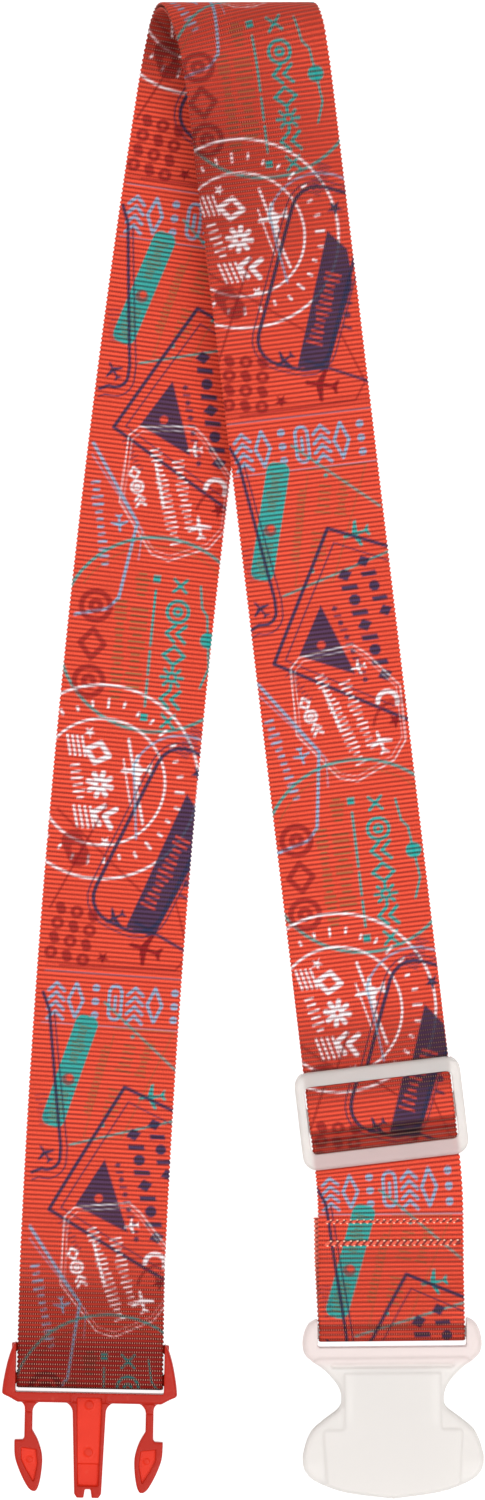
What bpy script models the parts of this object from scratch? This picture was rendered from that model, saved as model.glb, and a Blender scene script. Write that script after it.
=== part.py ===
"""Printed luggage strap with a side-release buckle and a slide adjuster, lying flat and folded at the top.

Metres, +Z up, +Y from the buckles towards the fold. The strap is one length of webbing. It starts at the
female buckle, runs through the slider and up the right strand as the front layer, over the fold as the
outer layer, down the left strand as the back layer, round the male buckle, and returns as the front layer
of the left strand, the inner layer of the fold and the back layer of the right strand, to end sewn round
the slider's centre bar.
"""

import math

import bmesh
import bpy
from mathutils import Matrix, Vector

# Webbing
WEBBING_WIDTH = 0.050
WEBBING_THICKNESS = 0.0012
LAYER_GAP = 0.0003
SECTION_GAP = 0.0003
SIDE_CLEARANCE = 0.0006  # between the webbing's edge and any slot it runs through

# Layout on the table
OVERALL_LENGTH = 0.5148
STRAND_SLOPE = math.radians(3.0)  # the right strand climbs from the slider to the fold
FOLD_CENTRE_X = -0.0023
FOLD_EXTRA_TILT = 0.20  # sideways run of the webbing per length, added at the fold
FOLD_TILT_REACH = 0.020
LEFT_TILT_AT_FOLD = 0.160
LEFT_TILT_AT_END = 0.047
MALE_TILT = 0.020
RIGHT_TILT = 0.119
FEMALE_TILT = 0.010
TILT_EASE = 0.018
FOLD_PIECE_REACH = 0.012  # flat webbing on each side of the fold's arc that belongs to the fold pieces

# Slide adjuster
SLIDER_FROM_FEMALE_BAR = 0.0755
SLIDER_LENGTH = 0.034
SLIDER_SIDE_BAR = 0.0031
SLIDER_CORNER_RADIUS = 0.005
WINDOW_CORNER_RADIUS = 0.0022
SLIDER_TOP_BAR = 0.0050
SLIDER_BOTTOM_BAR = 0.0056
SLIDER_FRONT_THICKNESS = 0.0022
SLIDER_CENTRE_BAR_WIDTH = 0.0080
SLIDER_CENTRE_BAR_THICKNESS = 0.0020
SLIDER_TABLE_GAP = 0.0005
ARCH_RISE = 0.0010
ARCH_CREST = 0.38  # share of the arch below its crest
ARCH_END_GAP = 0.0010
TAIL_LENGTH = 0.048  # of the webbing's end, from the centre bar to its cut edge
SLIDER_SEAM_INSET = 0.006
SLIDER_SEAM_SPACING = 0.008

# Female end
FEMALE_LENGTH = 0.0622
FEMALE_THICKNESS = 0.012
FEMALE_BAR_RADIUS = 0.0017
FEMALE_EAR_REACH = 0.0050
FEMALE_EAR_WIDTH = 0.0053
FEMALE_EAR_THICKNESS = 0.0094
FEMALE_SLOT = 0.0050
FEMALE_BAND = 0.0046
FEMALE_WAIST_WALL = 0.0022  # the waist stands this far outside the core
FEMALE_COLLAR_WALL = 0.0072  # the collar stands this far outside the socket
FEMALE_COLLAR_LENGTH = 0.0125
FEMALE_MOUTH_BULGE = 0.0060  # how far the mouth's middle stands out past its corners
FEMALE_SHOULDER_LENGTH = 0.0125
SOCKET_INSET = 0.0016  # on each side, from the width of the webbing slot
SOCKET_HEIGHT = 0.0064
CORE_TO_ARM = 0.0004  # on each side, between the core and the arm heads
CORE_WALL = 0.0020
HEM_LENGTH = 0.0152
TAIL_DRIFT = 0.0013  # the tail lies this far to the left of the layer above it
HEM_TO_FEMALE_BAR = 0.0240
SEAM_UPPER_INSET = 0.0022
SEAM_SPACING = 0.0076

# Male end
MALE_THICKNESS = 0.0075
MALE_EAR_WIDTH = 0.0045
MALE_BAR_THICKNESS = 0.0023
MALE_LOCK_BAR_WIDTH = 0.0038
MALE_END_BAR_WIDTH = 0.0030
MALE_EAR_REACH = 0.0127
MALE_SLOT_TO_BAND = 0.0047
MALE_BAND = 0.0035
MALE_EAR_TAPER = 0.0036  # how far the ears lean in towards the end bar
PRONG_LENGTH = 0.0327
PRONG_ROOT_WIDTH = 0.0114
PRONG_END_WIDTH = 0.0093
PRONG_THICKNESS = 0.0050
PRONG_POCKET_DEPTH = 0.0010
PRONG_FILLET = 0.0035
ARM_THICKNESS = 0.0050
ARM_ROOT_INSET = 0.00475  # from the edge of the webbing slot to the middle of an arm
ARM_STEM_WIDTH = 0.0027
ARM_STEM_LENGTH = 0.0128
ARM_HEAD_LENGTH = 0.0179
ARM_HEAD_WIDTH = 0.0097
ARM_HOOK = 0.0034
ARM_ROOT_GAP = 0.0003
ARM_STUB = 0.0036  # from the band to where the arm starts to bend
ARM_OUTER_FILLET = 0.0023
ARM_INNER_FILLET = 0.0034
MALE_FLEX_LENGTH = 0.0150  # webbing that bends behind the male buckle

# Thread
THREAD_HEIGHT = 0.0005
THREAD_WIDTH = 0.0011
SEAM_EDGE_INSET = 0.0020

JOIN_OVERLAP = 0.0002  # how far one moulded volume runs into the next

# Derived levels and places
HALF_WEBBING = WEBBING_THICKNESS / 2
PITCH = WEBBING_THICKNESS + LAYER_GAP
HALF_LENGTH = OVERALL_LENGTH / 2
SLOT_WIDTH = WEBBING_WIDTH + 2 * SIDE_CLEARANCE
ARM_ROOT_X = SLOT_WIDTH / 2 - ARM_ROOT_INSET
ARM_HEAD_OUT = ARM_STEM_WIDTH / 2 + ARM_HOOK
SOCKET_WIDTH = SLOT_WIDTH - 2 * SOCKET_INSET
CORE_WIDTH = 2 * (ARM_ROOT_X + ARM_HEAD_OUT - ARM_HEAD_WIDTH - CORE_TO_ARM)

FEMALE_BAR_Y = -HALF_LENGTH + FEMALE_LENGTH - FEMALE_EAR_REACH
FEMALE_BAR_Z = FEMALE_THICKNESS / 2
FEMALE_LOOP_RADIUS = FEMALE_BAR_RADIUS + LAYER_GAP + HALF_WEBBING
HEM_END_Y = FEMALE_BAR_Y + HEM_TO_FEMALE_BAR

MALE_REACH = MALE_SLOT_TO_BAND + MALE_BAND + PRONG_LENGTH
MALE_BAR_Y = -HALF_LENGTH + MALE_REACH
MALE_BAR_Z = MALE_THICKNESS / 2
MALE_LOOP_RADIUS = MALE_BAR_THICKNESS / 2 + LAYER_GAP + HALF_WEBBING
MALE_FLEX_START = MALE_EAR_REACH + 0.0008
MALE_JOIN = MALE_FLEX_START + MALE_FLEX_LENGTH
MALE_AXIS = MALE_FLEX_START + MALE_FLEX_LENGTH / 2

SLIDER_Y = FEMALE_BAR_Y + SLIDER_FROM_FEMALE_BAR
# Heights through the slider, from the middle of the front layer
FRONT_BAR_UNDER = HALF_WEBBING + LAYER_GAP
FRONT_BAR_TOP = FRONT_BAR_UNDER + SLIDER_FRONT_THICKNESS
CENTRE_BAR_TOP = -PITCH - HALF_WEBBING - LAYER_GAP
CENTRE_BAR_UNDER = CENTRE_BAR_TOP - SLIDER_CENTRE_BAR_THICKNESS
CENTRE_BAR_MIDDLE = (CENTRE_BAR_TOP + CENTRE_BAR_UNDER) / 2
SLIDER_LOOP_RADIUS = SLIDER_CENTRE_BAR_THICKNESS / 2 + LAYER_GAP + HALF_WEBBING
TAIL_UNDER = CENTRE_BAR_MIDDLE - SLIDER_LOOP_RADIUS - HALF_WEBBING
FRONT_LAYER_Z = -TAIL_UNDER + SLIDER_TABLE_GAP
SLIDER_WIDTH = SLOT_WIDTH + 2 * SLIDER_SIDE_BAR

# Middle surface between the two layers: flat on the left, an arc, then a straight climb on the right
LEFT_Z = WEBBING_THICKNESS + LAYER_GAP / 2
RIGHT_Z_AT_SLIDER = FRONT_LAYER_Z - PITCH / 2 / math.cos(STRAND_SLOPE)
SLOPE_TAN = math.tan(STRAND_SLOPE)
FOLD_FRONT_Y = HALF_LENGTH - PITCH / 2 - HALF_WEBBING
FOLD_RADIUS = (RIGHT_Z_AT_SLIDER + SLOPE_TAN * (FOLD_FRONT_Y - SLIDER_Y) - LEFT_Z) / (
    1 + SLOPE_TAN + 1 / math.cos(STRAND_SLOPE)
)
FOLD_Y = FOLD_FRONT_Y - FOLD_RADIUS
FOLD_Z = LEFT_Z + FOLD_RADIUS
ARC_ANGLE = math.pi + STRAND_SLOPE
ARC_LENGTH = FOLD_RADIUS * ARC_ANGLE
CREST = FOLD_RADIUS * math.pi / 2
ARC_END_Y = FOLD_Y - FOLD_RADIUS * math.sin(STRAND_SLOPE)


def run_at_left(y):
    """Distance along the middle surface of the point of the left strand at this y."""
    return y - FOLD_Y


def run_at_right(y):
    return ARC_LENGTH + (ARC_END_Y - y) / math.cos(STRAND_SLOPE)


SLIDER_RUN = run_at_right(SLIDER_Y)
HEM_TOP_RUN = run_at_right(HEM_END_Y + HEM_LENGTH)
HEM_END_RUN = run_at_right(HEM_END_Y)
MALE_JOIN_RUN = run_at_left(MALE_BAR_Y + MALE_JOIN * math.cos(MALE_TILT))
TILTS = [
    (MALE_JOIN_RUN - 0.05, MALE_TILT),
    (MALE_JOIN_RUN, MALE_TILT),
    (MALE_JOIN_RUN + 0.02, LEFT_TILT_AT_END),
    (CREST - 0.0245, LEFT_TILT_AT_FOLD),
    (CREST, (LEFT_TILT_AT_FOLD + RIGHT_TILT) / 2),
    (CREST + 0.0245, RIGHT_TILT),
    (SLIDER_RUN + SLIDER_LENGTH / 2, RIGHT_TILT),
    (SLIDER_RUN + SLIDER_LENGTH / 2 + TILT_EASE, FEMALE_TILT),
    (HEM_END_RUN + 0.05, FEMALE_TILT),
]


def tilt_at(run):
    """Sideways run of the webbing's centre line per distance along the middle surface."""
    extra = FOLD_EXTRA_TILT * math.exp(-(((run - CREST) / FOLD_TILT_REACH) ** 2))
    for (start, a), (end, b) in zip(TILTS, TILTS[1:]):
        if run <= end:
            share = max(0.0, (run - start) / (end - start))
            return a + (b - a) * share + extra
    return TILTS[-1][1] + extra


def area_under_tilts(run):
    total = 0.0
    for (start, a), (end, b) in zip(TILTS, TILTS[1:]):
        if run <= start:
            break
        stop = min(run, end)
        at_stop = a + (b - a) * (stop - start) / (end - start)
        total += (a + at_stop) / 2 * (stop - start)
    return total


def centre_x(run):
    bump = FOLD_EXTRA_TILT * FOLD_TILT_REACH * math.sqrt(math.pi) / 2
    return (
        FOLD_CENTRE_X
        + area_under_tilts(run)
        - area_under_tilts(CREST)
        + bump * math.erf((run - CREST) / FOLD_TILT_REACH)
    )


def middle_surface(run):
    """Point (y, z) of the middle surface and its outward normal."""
    if run < 0:
        return Vector((FOLD_Y + run, LEFT_Z)), Vector((0, -1))
    if run < ARC_LENGTH:
        angle = run / FOLD_RADIUS - math.pi / 2
        normal = Vector((math.cos(angle), math.sin(angle)))
        return Vector((FOLD_Y, FOLD_Z)) + normal * FOLD_RADIUS, normal
    angle = math.pi / 2 + STRAND_SLOPE
    normal = Vector((math.cos(angle), math.sin(angle)))
    along = Vector((-math.cos(STRAND_SLOPE), -math.sin(STRAND_SLOPE)))
    start = Vector((FOLD_Y, FOLD_Z)) + normal * FOLD_RADIUS
    return start + along * (run - ARC_LENGTH), normal


def strand_point(run, across, offset):
    """World point of the webbing: across from its centre line, offset outward from the middle surface.

    Rows run square to the webbing on the flat strands and parallel to the fold on its arc."""
    angle = math.atan(tilt_at(run))
    outside = max(-run, run - ARC_LENGTH) / FOLD_PIECE_REACH
    square = min(max(outside * 1.6, 0.0), 1.0)
    along = run - across * math.sin(angle) * square
    sideways = across * (math.cos(angle) * square + (1 - square) / math.cos(angle))
    at, normal = middle_surface(along)
    at = at + normal * offset
    return Vector((centre_x(run) + sideways, at.x, at.y))


# Frames of the buckles and the slider: X across the webbing, Y along it towards the fold, Z up
def upright_frame(run, y, z, turn):
    place = Matrix.Translation((centre_x(run), y, z))
    return place @ Matrix.Rotation(turn, 4, "Z")


FEMALE_FRAME = upright_frame(
    run_at_right(FEMALE_BAR_Y), FEMALE_BAR_Y, FEMALE_BAR_Z, math.atan(FEMALE_TILT)
)
MALE_FRAME = upright_frame(
    run_at_left(MALE_BAR_Y), MALE_BAR_Y, MALE_BAR_Z, -math.atan(MALE_TILT)
)
SLIDER_FRAME = (
    Matrix.Translation(strand_point(SLIDER_RUN, 0, PITCH / 2))
    @ Matrix.Rotation(STRAND_SLOPE, 4, "X")
    @ Matrix.Rotation(math.atan(RIGHT_TILT), 4, "Z")
)


def clear_scene():
    for obj in list(bpy.data.objects):
        bpy.data.objects.remove(obj, do_unlink=True)
    for found in list(bpy.data.collections):
        bpy.data.collections.remove(found)


def new_collection(name, hidden):
    made = bpy.data.collections.new(name)
    made.hide_render = hidden
    bpy.context.scene.collection.children.link(made)
    return made


def material(name, colour, roughness, transmission=0.0):
    made = bpy.data.materials.new(name)
    made.use_nodes = True
    shader = made.node_tree.nodes["Principled BSDF"]
    shader.inputs["Base Color"].default_value = (*colour, 1)
    shader.inputs["Roughness"].default_value = roughness
    shader.inputs["Transmission Weight"].default_value = transmission
    made.diffuse_color = (*colour, 1)
    return made


clear_scene()
STRAP = new_collection("luggage_strap", False)
CUTTERS = new_collection("cutters", True)
WEBBING_RED = material("webbing_red", (0.80, 0.075, 0.035), 0.8)
WEBBING_WHITE = material("webbing_white", (0.82, 0.78, 0.75), 0.85)
PLASTIC_RED = material("plastic_red", (0.68, 0.06, 0.035), 0.35)
PLASTIC_FROSTED = material("plastic_frosted", (0.86, 0.83, 0.81), 0.3, 0.4)
THREAD_RED = material("thread_red", (0.72, 0.09, 0.05), 0.6)


def add_object(name, mesh, look, frame=None, collection=STRAP):
    obj = bpy.data.objects.new(name, mesh)
    collection.objects.link(obj)
    if look:
        mesh.materials.append(look)
    if frame:
        obj.matrix_world = frame
    return obj


def sheet_object(name, rows, look, frame=None, thickness=WEBBING_THICKNESS):
    """A sheet through rows of points, thickened evenly to both sides."""
    sheet = bmesh.new()
    grid = [[sheet.verts.new(point) for point in row] for row in rows]
    for above, below in zip(grid, grid[1:]):
        for a, b, c, d in zip(above, above[1:], below[1:], below):
            sheet.faces.new((a, b, c, d))
    mesh = bpy.data.meshes.new(name)
    sheet.to_mesh(mesh)
    sheet.free()
    obj = add_object(name, mesh, look, frame)
    solid = obj.modifiers.new("thickness", "SOLIDIFY")
    solid.thickness = thickness
    solid.offset = 0
    solid.use_even_offset = True
    return obj


def strand_object(name, start, end, step, offset, look):
    """Webbing that follows the strands and the fold between two distances."""
    count = max(2, math.ceil((end - start) / step))
    rows = []
    for i in range(count + 1):
        run = start + (end - start) * i / count
        rows.append(
            [strand_point(run, share * WEBBING_WIDTH, offset) for share in (-0.5, 0, 0.5)]
        )
    return sheet_object(name, rows, look)


def ribbon_object(name, profile, frame, look, drift=lambda share: 0.0):
    """Webbing across a profile of (y, z) points in one of the buckle frames.

    drift gives its sideways shift for the share of the profile passed."""
    half = WEBBING_WIDTH / 2
    rows = []
    for i, (y, z) in enumerate(profile):
        shift = drift(i / (len(profile) - 1))
        rows.append([Vector((x + shift, y, z)) for x in (-half, half)])
    return sheet_object(name, rows, look, frame)


def arc(centre_y, centre_z, radius, start, end, count):
    points = []
    for i in range(count + 1):
        angle = math.radians(start + (end - start) * i / count)
        points.append((centre_y + radius * math.cos(angle), centre_z + radius * math.sin(angle)))
    return points


def ease(start, end, count, start_slope=0.0, end_slope=0.0):
    """Points of a smooth step from one (y, z) to another with given slopes at its ends."""
    (y0, z0), (y1, z1) = start, end
    points = []
    for i in range(count + 1):
        t = i / count
        rise = (2 * t**3 - 3 * t**2 + 1) * z0 + (3 * t**2 - 2 * t**3) * z1
        turn = (t**3 - 2 * t**2 + t) * start_slope + (t**3 - t**2) * end_slope
        points.append((y0 + (y1 - y0) * t, rise + turn * (y1 - y0)))
    return points


def prism(name, outline, low, high, look=None, frame=None, collection=STRAP):
    """A 2D outline, extruded between two heights."""
    curve = bpy.data.curves.new(name, "CURVE")
    curve.dimensions = "2D"
    curve.fill_mode = "BOTH"
    curve.extrude = (high - low) / 2
    spline = curve.splines.new("POLY")
    spline.points.add(len(outline) - 1)
    for point, (x, y) in zip(spline.points, outline):
        point.co = (x, y, 0, 1)
    spline.use_cyclic_u = True
    source = bpy.data.objects.new(name + "_outline", curve)
    mesh = bpy.data.meshes.new_from_object(source)
    bpy.data.objects.remove(source)
    bpy.data.curves.remove(curve)
    mesh.name = name
    mesh.transform(Matrix.Translation((0, 0, (high + low) / 2)))
    solid = bmesh.new()
    solid.from_mesh(mesh)
    bmesh.ops.remove_doubles(solid, verts=solid.verts, dist=1e-6)
    bmesh.ops.dissolve_limit(
        solid, angle_limit=math.radians(0.5), verts=solid.verts, edges=solid.edges
    )
    bmesh.ops.recalc_face_normals(solid, faces=solid.faces)
    solid.to_mesh(mesh)
    solid.free()
    return add_object(name, mesh, look, frame, collection)


def box(name, x, y, z, look=None, frame=None, collection=CUTTERS):
    """A box between (low, high) pairs."""
    solid = bmesh.new()
    bmesh.ops.create_cube(solid, size=1)
    size = Vector([high - low for low, high in (x, y, z)])
    middle = Vector([(high + low) / 2 for low, high in (x, y, z)])
    bmesh.ops.scale(solid, vec=size, verts=solid.verts)
    bmesh.ops.translate(solid, vec=middle, verts=solid.verts)
    mesh = bpy.data.meshes.new(name)
    solid.to_mesh(mesh)
    solid.free()
    obj = add_object(name, mesh, look, frame, collection)
    if collection is CUTTERS:
        obj.display_type = "WIRE"
        obj.hide_render = True
    return obj


def bar_object(name, length, width, thickness, y, z, frame):
    """A bar across the webbing with round long edges, as a tool for a join."""
    solid = bmesh.new()
    bmesh.ops.create_cube(solid, size=1)
    bmesh.ops.scale(solid, vec=(length, width, thickness), verts=solid.verts)
    long_edges = [
        edge for edge in solid.edges if abs(edge.verts[0].co.x - edge.verts[1].co.x) > 0.001
    ]
    bmesh.ops.bevel(
        solid,
        geom=long_edges,
        offset=thickness * 0.49,
        segments=4,
        profile=0.5,
        affect="EDGES",
        clamp_overlap=True,
    )
    bmesh.ops.translate(solid, vec=(0, y, z), verts=solid.verts)
    mesh = bpy.data.meshes.new(name)
    solid.to_mesh(mesh)
    solid.free()
    obj = add_object(name, mesh, None, frame, CUTTERS)
    obj.display_type = "WIRE"
    obj.hide_render = True
    return obj


def combine(obj, tool, operation):
    made = obj.modifiers.new(operation.lower() + "_" + tool.name, "BOOLEAN")
    made.operation = operation
    made.solver = "EXACT"
    made.object = tool
    if tool.name not in CUTTERS.objects:
        for found in list(tool.users_collection):
            found.objects.unlink(tool)
        CUTTERS.objects.link(tool)
    tool.display_type = "WIRE"
    tool.hide_render = True


def soften(obj, width, segments=2, angle=40):
    made = obj.modifiers.new("soft_edges", "BEVEL")
    made.width = width
    made.segments = segments
    made.limit_method = "ANGLE"
    made.angle_limit = math.radians(angle)


def rounded_rectangle(x, y, radius, steps=5):
    """Outline between (low, high) pairs with round corners."""
    corners = [
        (x[1] - radius, y[1] - radius, 0),
        (x[0] + radius, y[1] - radius, 90),
        (x[0] + radius, y[0] + radius, 180),
        (x[1] - radius, y[0] + radius, 270),
    ]
    outline = []
    for cx, cy, start in corners:
        for i in range(steps + 1):
            angle = math.radians(start + 90 * i / steps)
            outline.append((cx + radius * math.cos(angle), cy + radius * math.sin(angle)))
    return outline


def smooth_line(knots, steps):
    """A Catmull-Rom line through the knots, from the first to the last."""
    padded = [knots[0], *knots, knots[-1]]
    line = []
    for i in range(len(knots) - 1):
        p0, p1, p2, p3 = (Vector(padded[i + k]) for k in range(4))
        for j in range(steps):
            t = j / steps
            point = 0.5 * (
                2 * p1
                + (p2 - p0) * t
                + (2 * p0 - 5 * p1 + 4 * p2 - p3) * t**2
                + (3 * p1 - p0 - 3 * p2 + p3) * t**3
            )
            line.append((point.x, point.y))
    return line + [tuple(knots[-1])]


# ---- Webbing on the strands and the fold ----
LEFT_START = MALE_JOIN_RUN + SECTION_GAP
LEFT_END = -FOLD_PIECE_REACH
RIGHT_START = ARC_LENGTH + FOLD_PIECE_REACH
BACK_END = SLIDER_RUN - TAIL_LENGTH - SLIDER_CENTRE_BAR_WIDTH / 2
HALF_PITCH = PITCH / 2

strand_object("webbing_left_back", LEFT_START, LEFT_END, 0.03, HALF_PITCH, WEBBING_RED)
strand_object("webbing_left_front", LEFT_START, LEFT_END, 0.03, -HALF_PITCH, WEBBING_RED)
FOLD_SPAN = (LEFT_END + SECTION_GAP, RIGHT_START - SECTION_GAP)
strand_object("webbing_fold_outer", *FOLD_SPAN, 0.0022, HALF_PITCH, WEBBING_RED)
strand_object("webbing_fold_inner", *FOLD_SPAN, 0.0022, -HALF_PITCH, WEBBING_RED)
strand_object("webbing_right_front", RIGHT_START, HEM_END_RUN, 0.009, HALF_PITCH, WEBBING_RED)
strand_object(
    "webbing_right_back", RIGHT_START, BACK_END - SECTION_GAP, 0.03, -HALF_PITCH, WEBBING_RED
)

# ---- Webbing round the male buckle's two bars ----
male_turn_y = -(MALE_LOCK_BAR_WIDTH - MALE_BAR_THICKNESS) / 2
front_layer = LEFT_Z + HALF_PITCH - MALE_BAR_Z
back_layer = LEFT_Z - HALF_PITCH - MALE_BAR_Z
male_profile = (
    ease((MALE_JOIN, front_layer), (MALE_FLEX_START, MALE_LOOP_RADIUS), 10)
    + arc(male_turn_y, 0, MALE_LOOP_RADIUS, 90, 270, 12)
    + ease((MALE_FLEX_START, -MALE_LOOP_RADIUS), (MALE_JOIN, back_layer), 10)
)
ribbon_object("webbing_male_loop", male_profile, MALE_FRAME, WEBBING_RED)

# ---- Webbing round the female buckle's bar, and its end turned under ----
def front_layer_at(y):
    """Height of the front layer above the female bar, on the straight right strand."""
    at, _ = middle_surface(run_at_right(FEMALE_BAR_Y + y))
    return at.y + HALF_PITCH / math.cos(STRAND_SLOPE) - FEMALE_BAR_Z


join_y = HEM_TO_FEMALE_BAR - SECTION_GAP
loop_start_y = FEMALE_EAR_REACH - 0.001
front_join = front_layer_at(join_y)
tail_join = front_join - PITCH
female_profile = (
    ease((join_y, front_join), (loop_start_y, FEMALE_LOOP_RADIUS), 12, SLOPE_TAN, 0)
    + arc(0, 0, FEMALE_LOOP_RADIUS, 90, 270, 14)
    + ease((loop_start_y, -FEMALE_LOOP_RADIUS), (join_y, tail_join), 12, 0, SLOPE_TAN)
)
ribbon_object(
    "webbing_female_loop",
    female_profile,
    FEMALE_FRAME,
    WEBBING_RED,
    lambda share: -TAIL_DRIFT * max(0.0, 2 * share - 1),
)

HEM_FRAME = (
    Matrix.Translation(strand_point(HEM_END_RUN, 0, HALF_PITCH))
    @ Matrix.Rotation(STRAND_SLOPE, 4, "X")
    @ Matrix.Rotation(math.atan(FEMALE_TILT), 4, "Z")
)
hem_turn_y = HEM_LENGTH - HALF_PITCH
hem_profile = (
    [(0, -PITCH), (hem_turn_y / 2, -PITCH)]
    + arc(hem_turn_y, -PITCH * 1.5, HALF_PITCH, 90, -90, 8)
    + [(hem_turn_y / 2, -PITCH * 2), (0, -PITCH * 2)]
)
ribbon_object(
    "webbing_end_hem", hem_profile, HEM_FRAME, WEBBING_RED, lambda share: -TAIL_DRIFT
)

# ---- Webbing in the slider ----
tail_start_y = -(SLIDER_CENTRE_BAR_WIDTH - SLIDER_CENTRE_BAR_THICKNESS) / 2
tail_end_y = SLIDER_CENTRE_BAR_WIDTH / 2 + TAIL_LENGTH
tail_rise_y = SLIDER_LENGTH / 2 + 0.004
slider_profile = (
    [(tail_end_y, -PITCH), (tail_rise_y, -PITCH)]
    + arc(tail_start_y, CENTRE_BAR_MIDDLE, SLIDER_LOOP_RADIUS, 90, 270, 12)
    + ease(
        (SLIDER_CENTRE_BAR_WIDTH / 2, CENTRE_BAR_MIDDLE - SLIDER_LOOP_RADIUS),
        (tail_rise_y, -2 * PITCH),
        8,
    )
    + [(tail_end_y - SLIDER_SEAM_INSET, -2 * PITCH), (tail_end_y - 0.001, -2 * PITCH)]
)
ribbon_object("webbing_slider_loop", slider_profile, SLIDER_FRAME, WEBBING_RED)

window_low = -SLIDER_LENGTH / 2 + SLIDER_BOTTOM_BAR
window_high = SLIDER_LENGTH / 2 - SLIDER_TOP_BAR
arch_low = window_low + ARCH_END_GAP
arch_high = window_high - ARCH_END_GAP
arch_z = FRONT_BAR_UNDER + HALF_WEBBING + 0.0001
arch_crest = arch_low + ARCH_CREST * (arch_high - arch_low)
arch_profile = ease((arch_high, arch_z), (arch_crest, arch_z + ARCH_RISE), 7)
arch_profile += ease((arch_crest, arch_z + ARCH_RISE), (arch_low, arch_z), 7)[1:]
ribbon_object("webbing_slider_arch", arch_profile, SLIDER_FRAME, WEBBING_RED)

# ---- Slider moulding ----
half_width = SLIDER_WIDTH / 2
half_slot = SLOT_WIDTH / 2
slider = prism(
    "slider_frame",
    rounded_rectangle(
        (-half_width, half_width), (-SLIDER_LENGTH / 2, SLIDER_LENGTH / 2), SLIDER_CORNER_RADIUS
    ),
    CENTRE_BAR_UNDER,
    FRONT_BAR_TOP,
    PLASTIC_FROSTED,
    SLIDER_FRAME,
)
strap_channel = box(
    "strap_channel",
    (-half_slot, half_slot),
    (-SLIDER_LENGTH, SLIDER_LENGTH),
    (CENTRE_BAR_UNDER * 2, FRONT_BAR_UNDER),
    frame=SLIDER_FRAME,
)
window = prism(
    "slider_window",
    rounded_rectangle((-half_slot, half_slot), (window_low, window_high), WINDOW_CORNER_RADIUS, 3),
    -0.02,
    0.02,
    frame=SLIDER_FRAME,
    collection=CUTTERS,
)
centre_bar = bar_object(
    "slider_centre_bar",
    SLOT_WIDTH + 0.002,
    SLIDER_CENTRE_BAR_WIDTH,
    SLIDER_CENTRE_BAR_THICKNESS,
    0,
    CENTRE_BAR_MIDDLE + 0.00001,
    SLIDER_FRAME,
)
combine(slider, strap_channel, "DIFFERENCE")
combine(slider, window, "DIFFERENCE")
combine(slider, centre_bar, "UNION")

# ---- Female buckle: one hollow moulding ----
ear_half = SLOT_WIDTH / 2 + FEMALE_EAR_WIDTH
collar_half = SOCKET_WIDTH / 2 + FEMALE_COLLAR_WALL
waist_half = CORE_WIDTH / 2 + FEMALE_WAIST_WALL
mouth_y = -(FEMALE_LENGTH - FEMALE_EAR_REACH)
collar_y = mouth_y + FEMALE_COLLAR_LENGTH
shoulder_y = collar_y + FEMALE_SHOULDER_LENGTH
band_y = -FEMALE_SLOT - FEMALE_BAND
waist_y = (shoulder_y + band_y) / 2 - 0.0015
right_side = [
    (half_slot, FEMALE_EAR_REACH),
    (half_slot + 0.0030, FEMALE_EAR_REACH - 0.0017),
    (ear_half - 0.0006, 0),
    (ear_half, -FEMALE_SLOT + 0.0010),
    (ear_half - 0.0007, -FEMALE_SLOT - 0.0022),
    (ear_half - 0.0030, band_y),
    (ear_half - 0.0073, band_y - 0.0030),
    (waist_half + 0.0014, waist_y + 0.0046),
    (waist_half, waist_y),
    (waist_half + 0.0010, waist_y - 0.0036),
    (waist_half + 0.0064, shoulder_y + 0.0020),
    (collar_half - 0.0027, shoulder_y - 0.0022),
    (collar_half - 0.0003, shoulder_y - 0.0086),
    (collar_half, collar_y),
    (collar_half - 0.0011, collar_y - 0.0032),
    (SOCKET_WIDTH / 2 + 0.0025, mouth_y + FEMALE_MOUTH_BULGE),
    (SOCKET_WIDTH / 2 - 0.0077, mouth_y + FEMALE_MOUTH_BULGE * 0.37),
    (0, mouth_y),
]
right_line = smooth_line(right_side, 3)
panel_line = [(x, y) for x, y in right_line if y <= band_y + 0.0001]
ear_line = [(x, y) for x, y in right_line if y >= band_y - 0.0032]
female = prism(
    "female_body",
    panel_line + [(-x, y) for x, y in reversed(panel_line[:-1])],
    -FEMALE_THICKNESS / 2,
    FEMALE_THICKNESS / 2,
    PLASTIC_FROSTED,
    FEMALE_FRAME,
)
soften(female, 0.0010)
ears = prism(
    "female_ears",
    ear_line + [(-x, y) for x, y in reversed(ear_line)],
    -FEMALE_EAR_THICKNESS / 2,
    FEMALE_EAR_THICKNESS / 2,
    frame=FEMALE_FRAME,
)
slot = box(
    "female_slot",
    (-half_slot, half_slot),
    (-FEMALE_SLOT, 0.02),
    (-0.02, 0.02),
    frame=FEMALE_FRAME,
)
socket = box(
    "female_socket",
    (-SOCKET_WIDTH / 2, SOCKET_WIDTH / 2),
    (mouth_y - 0.01, shoulder_y),
    (-SOCKET_HEIGHT / 2, SOCKET_HEIGHT / 2),
    frame=FEMALE_FRAME,
)
core = box(
    "female_core",
    (-CORE_WIDTH / 2 + CORE_WALL, CORE_WIDTH / 2 - CORE_WALL),
    (shoulder_y - 0.002, band_y - 0.0035),
    (-SOCKET_HEIGHT / 2, SOCKET_HEIGHT / 2),
    frame=FEMALE_FRAME,
)
combine(female, ears, "UNION")
combine(female, slot, "DIFFERENCE")
combine(female, socket, "DIFFERENCE")
combine(female, core, "DIFFERENCE")
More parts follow.
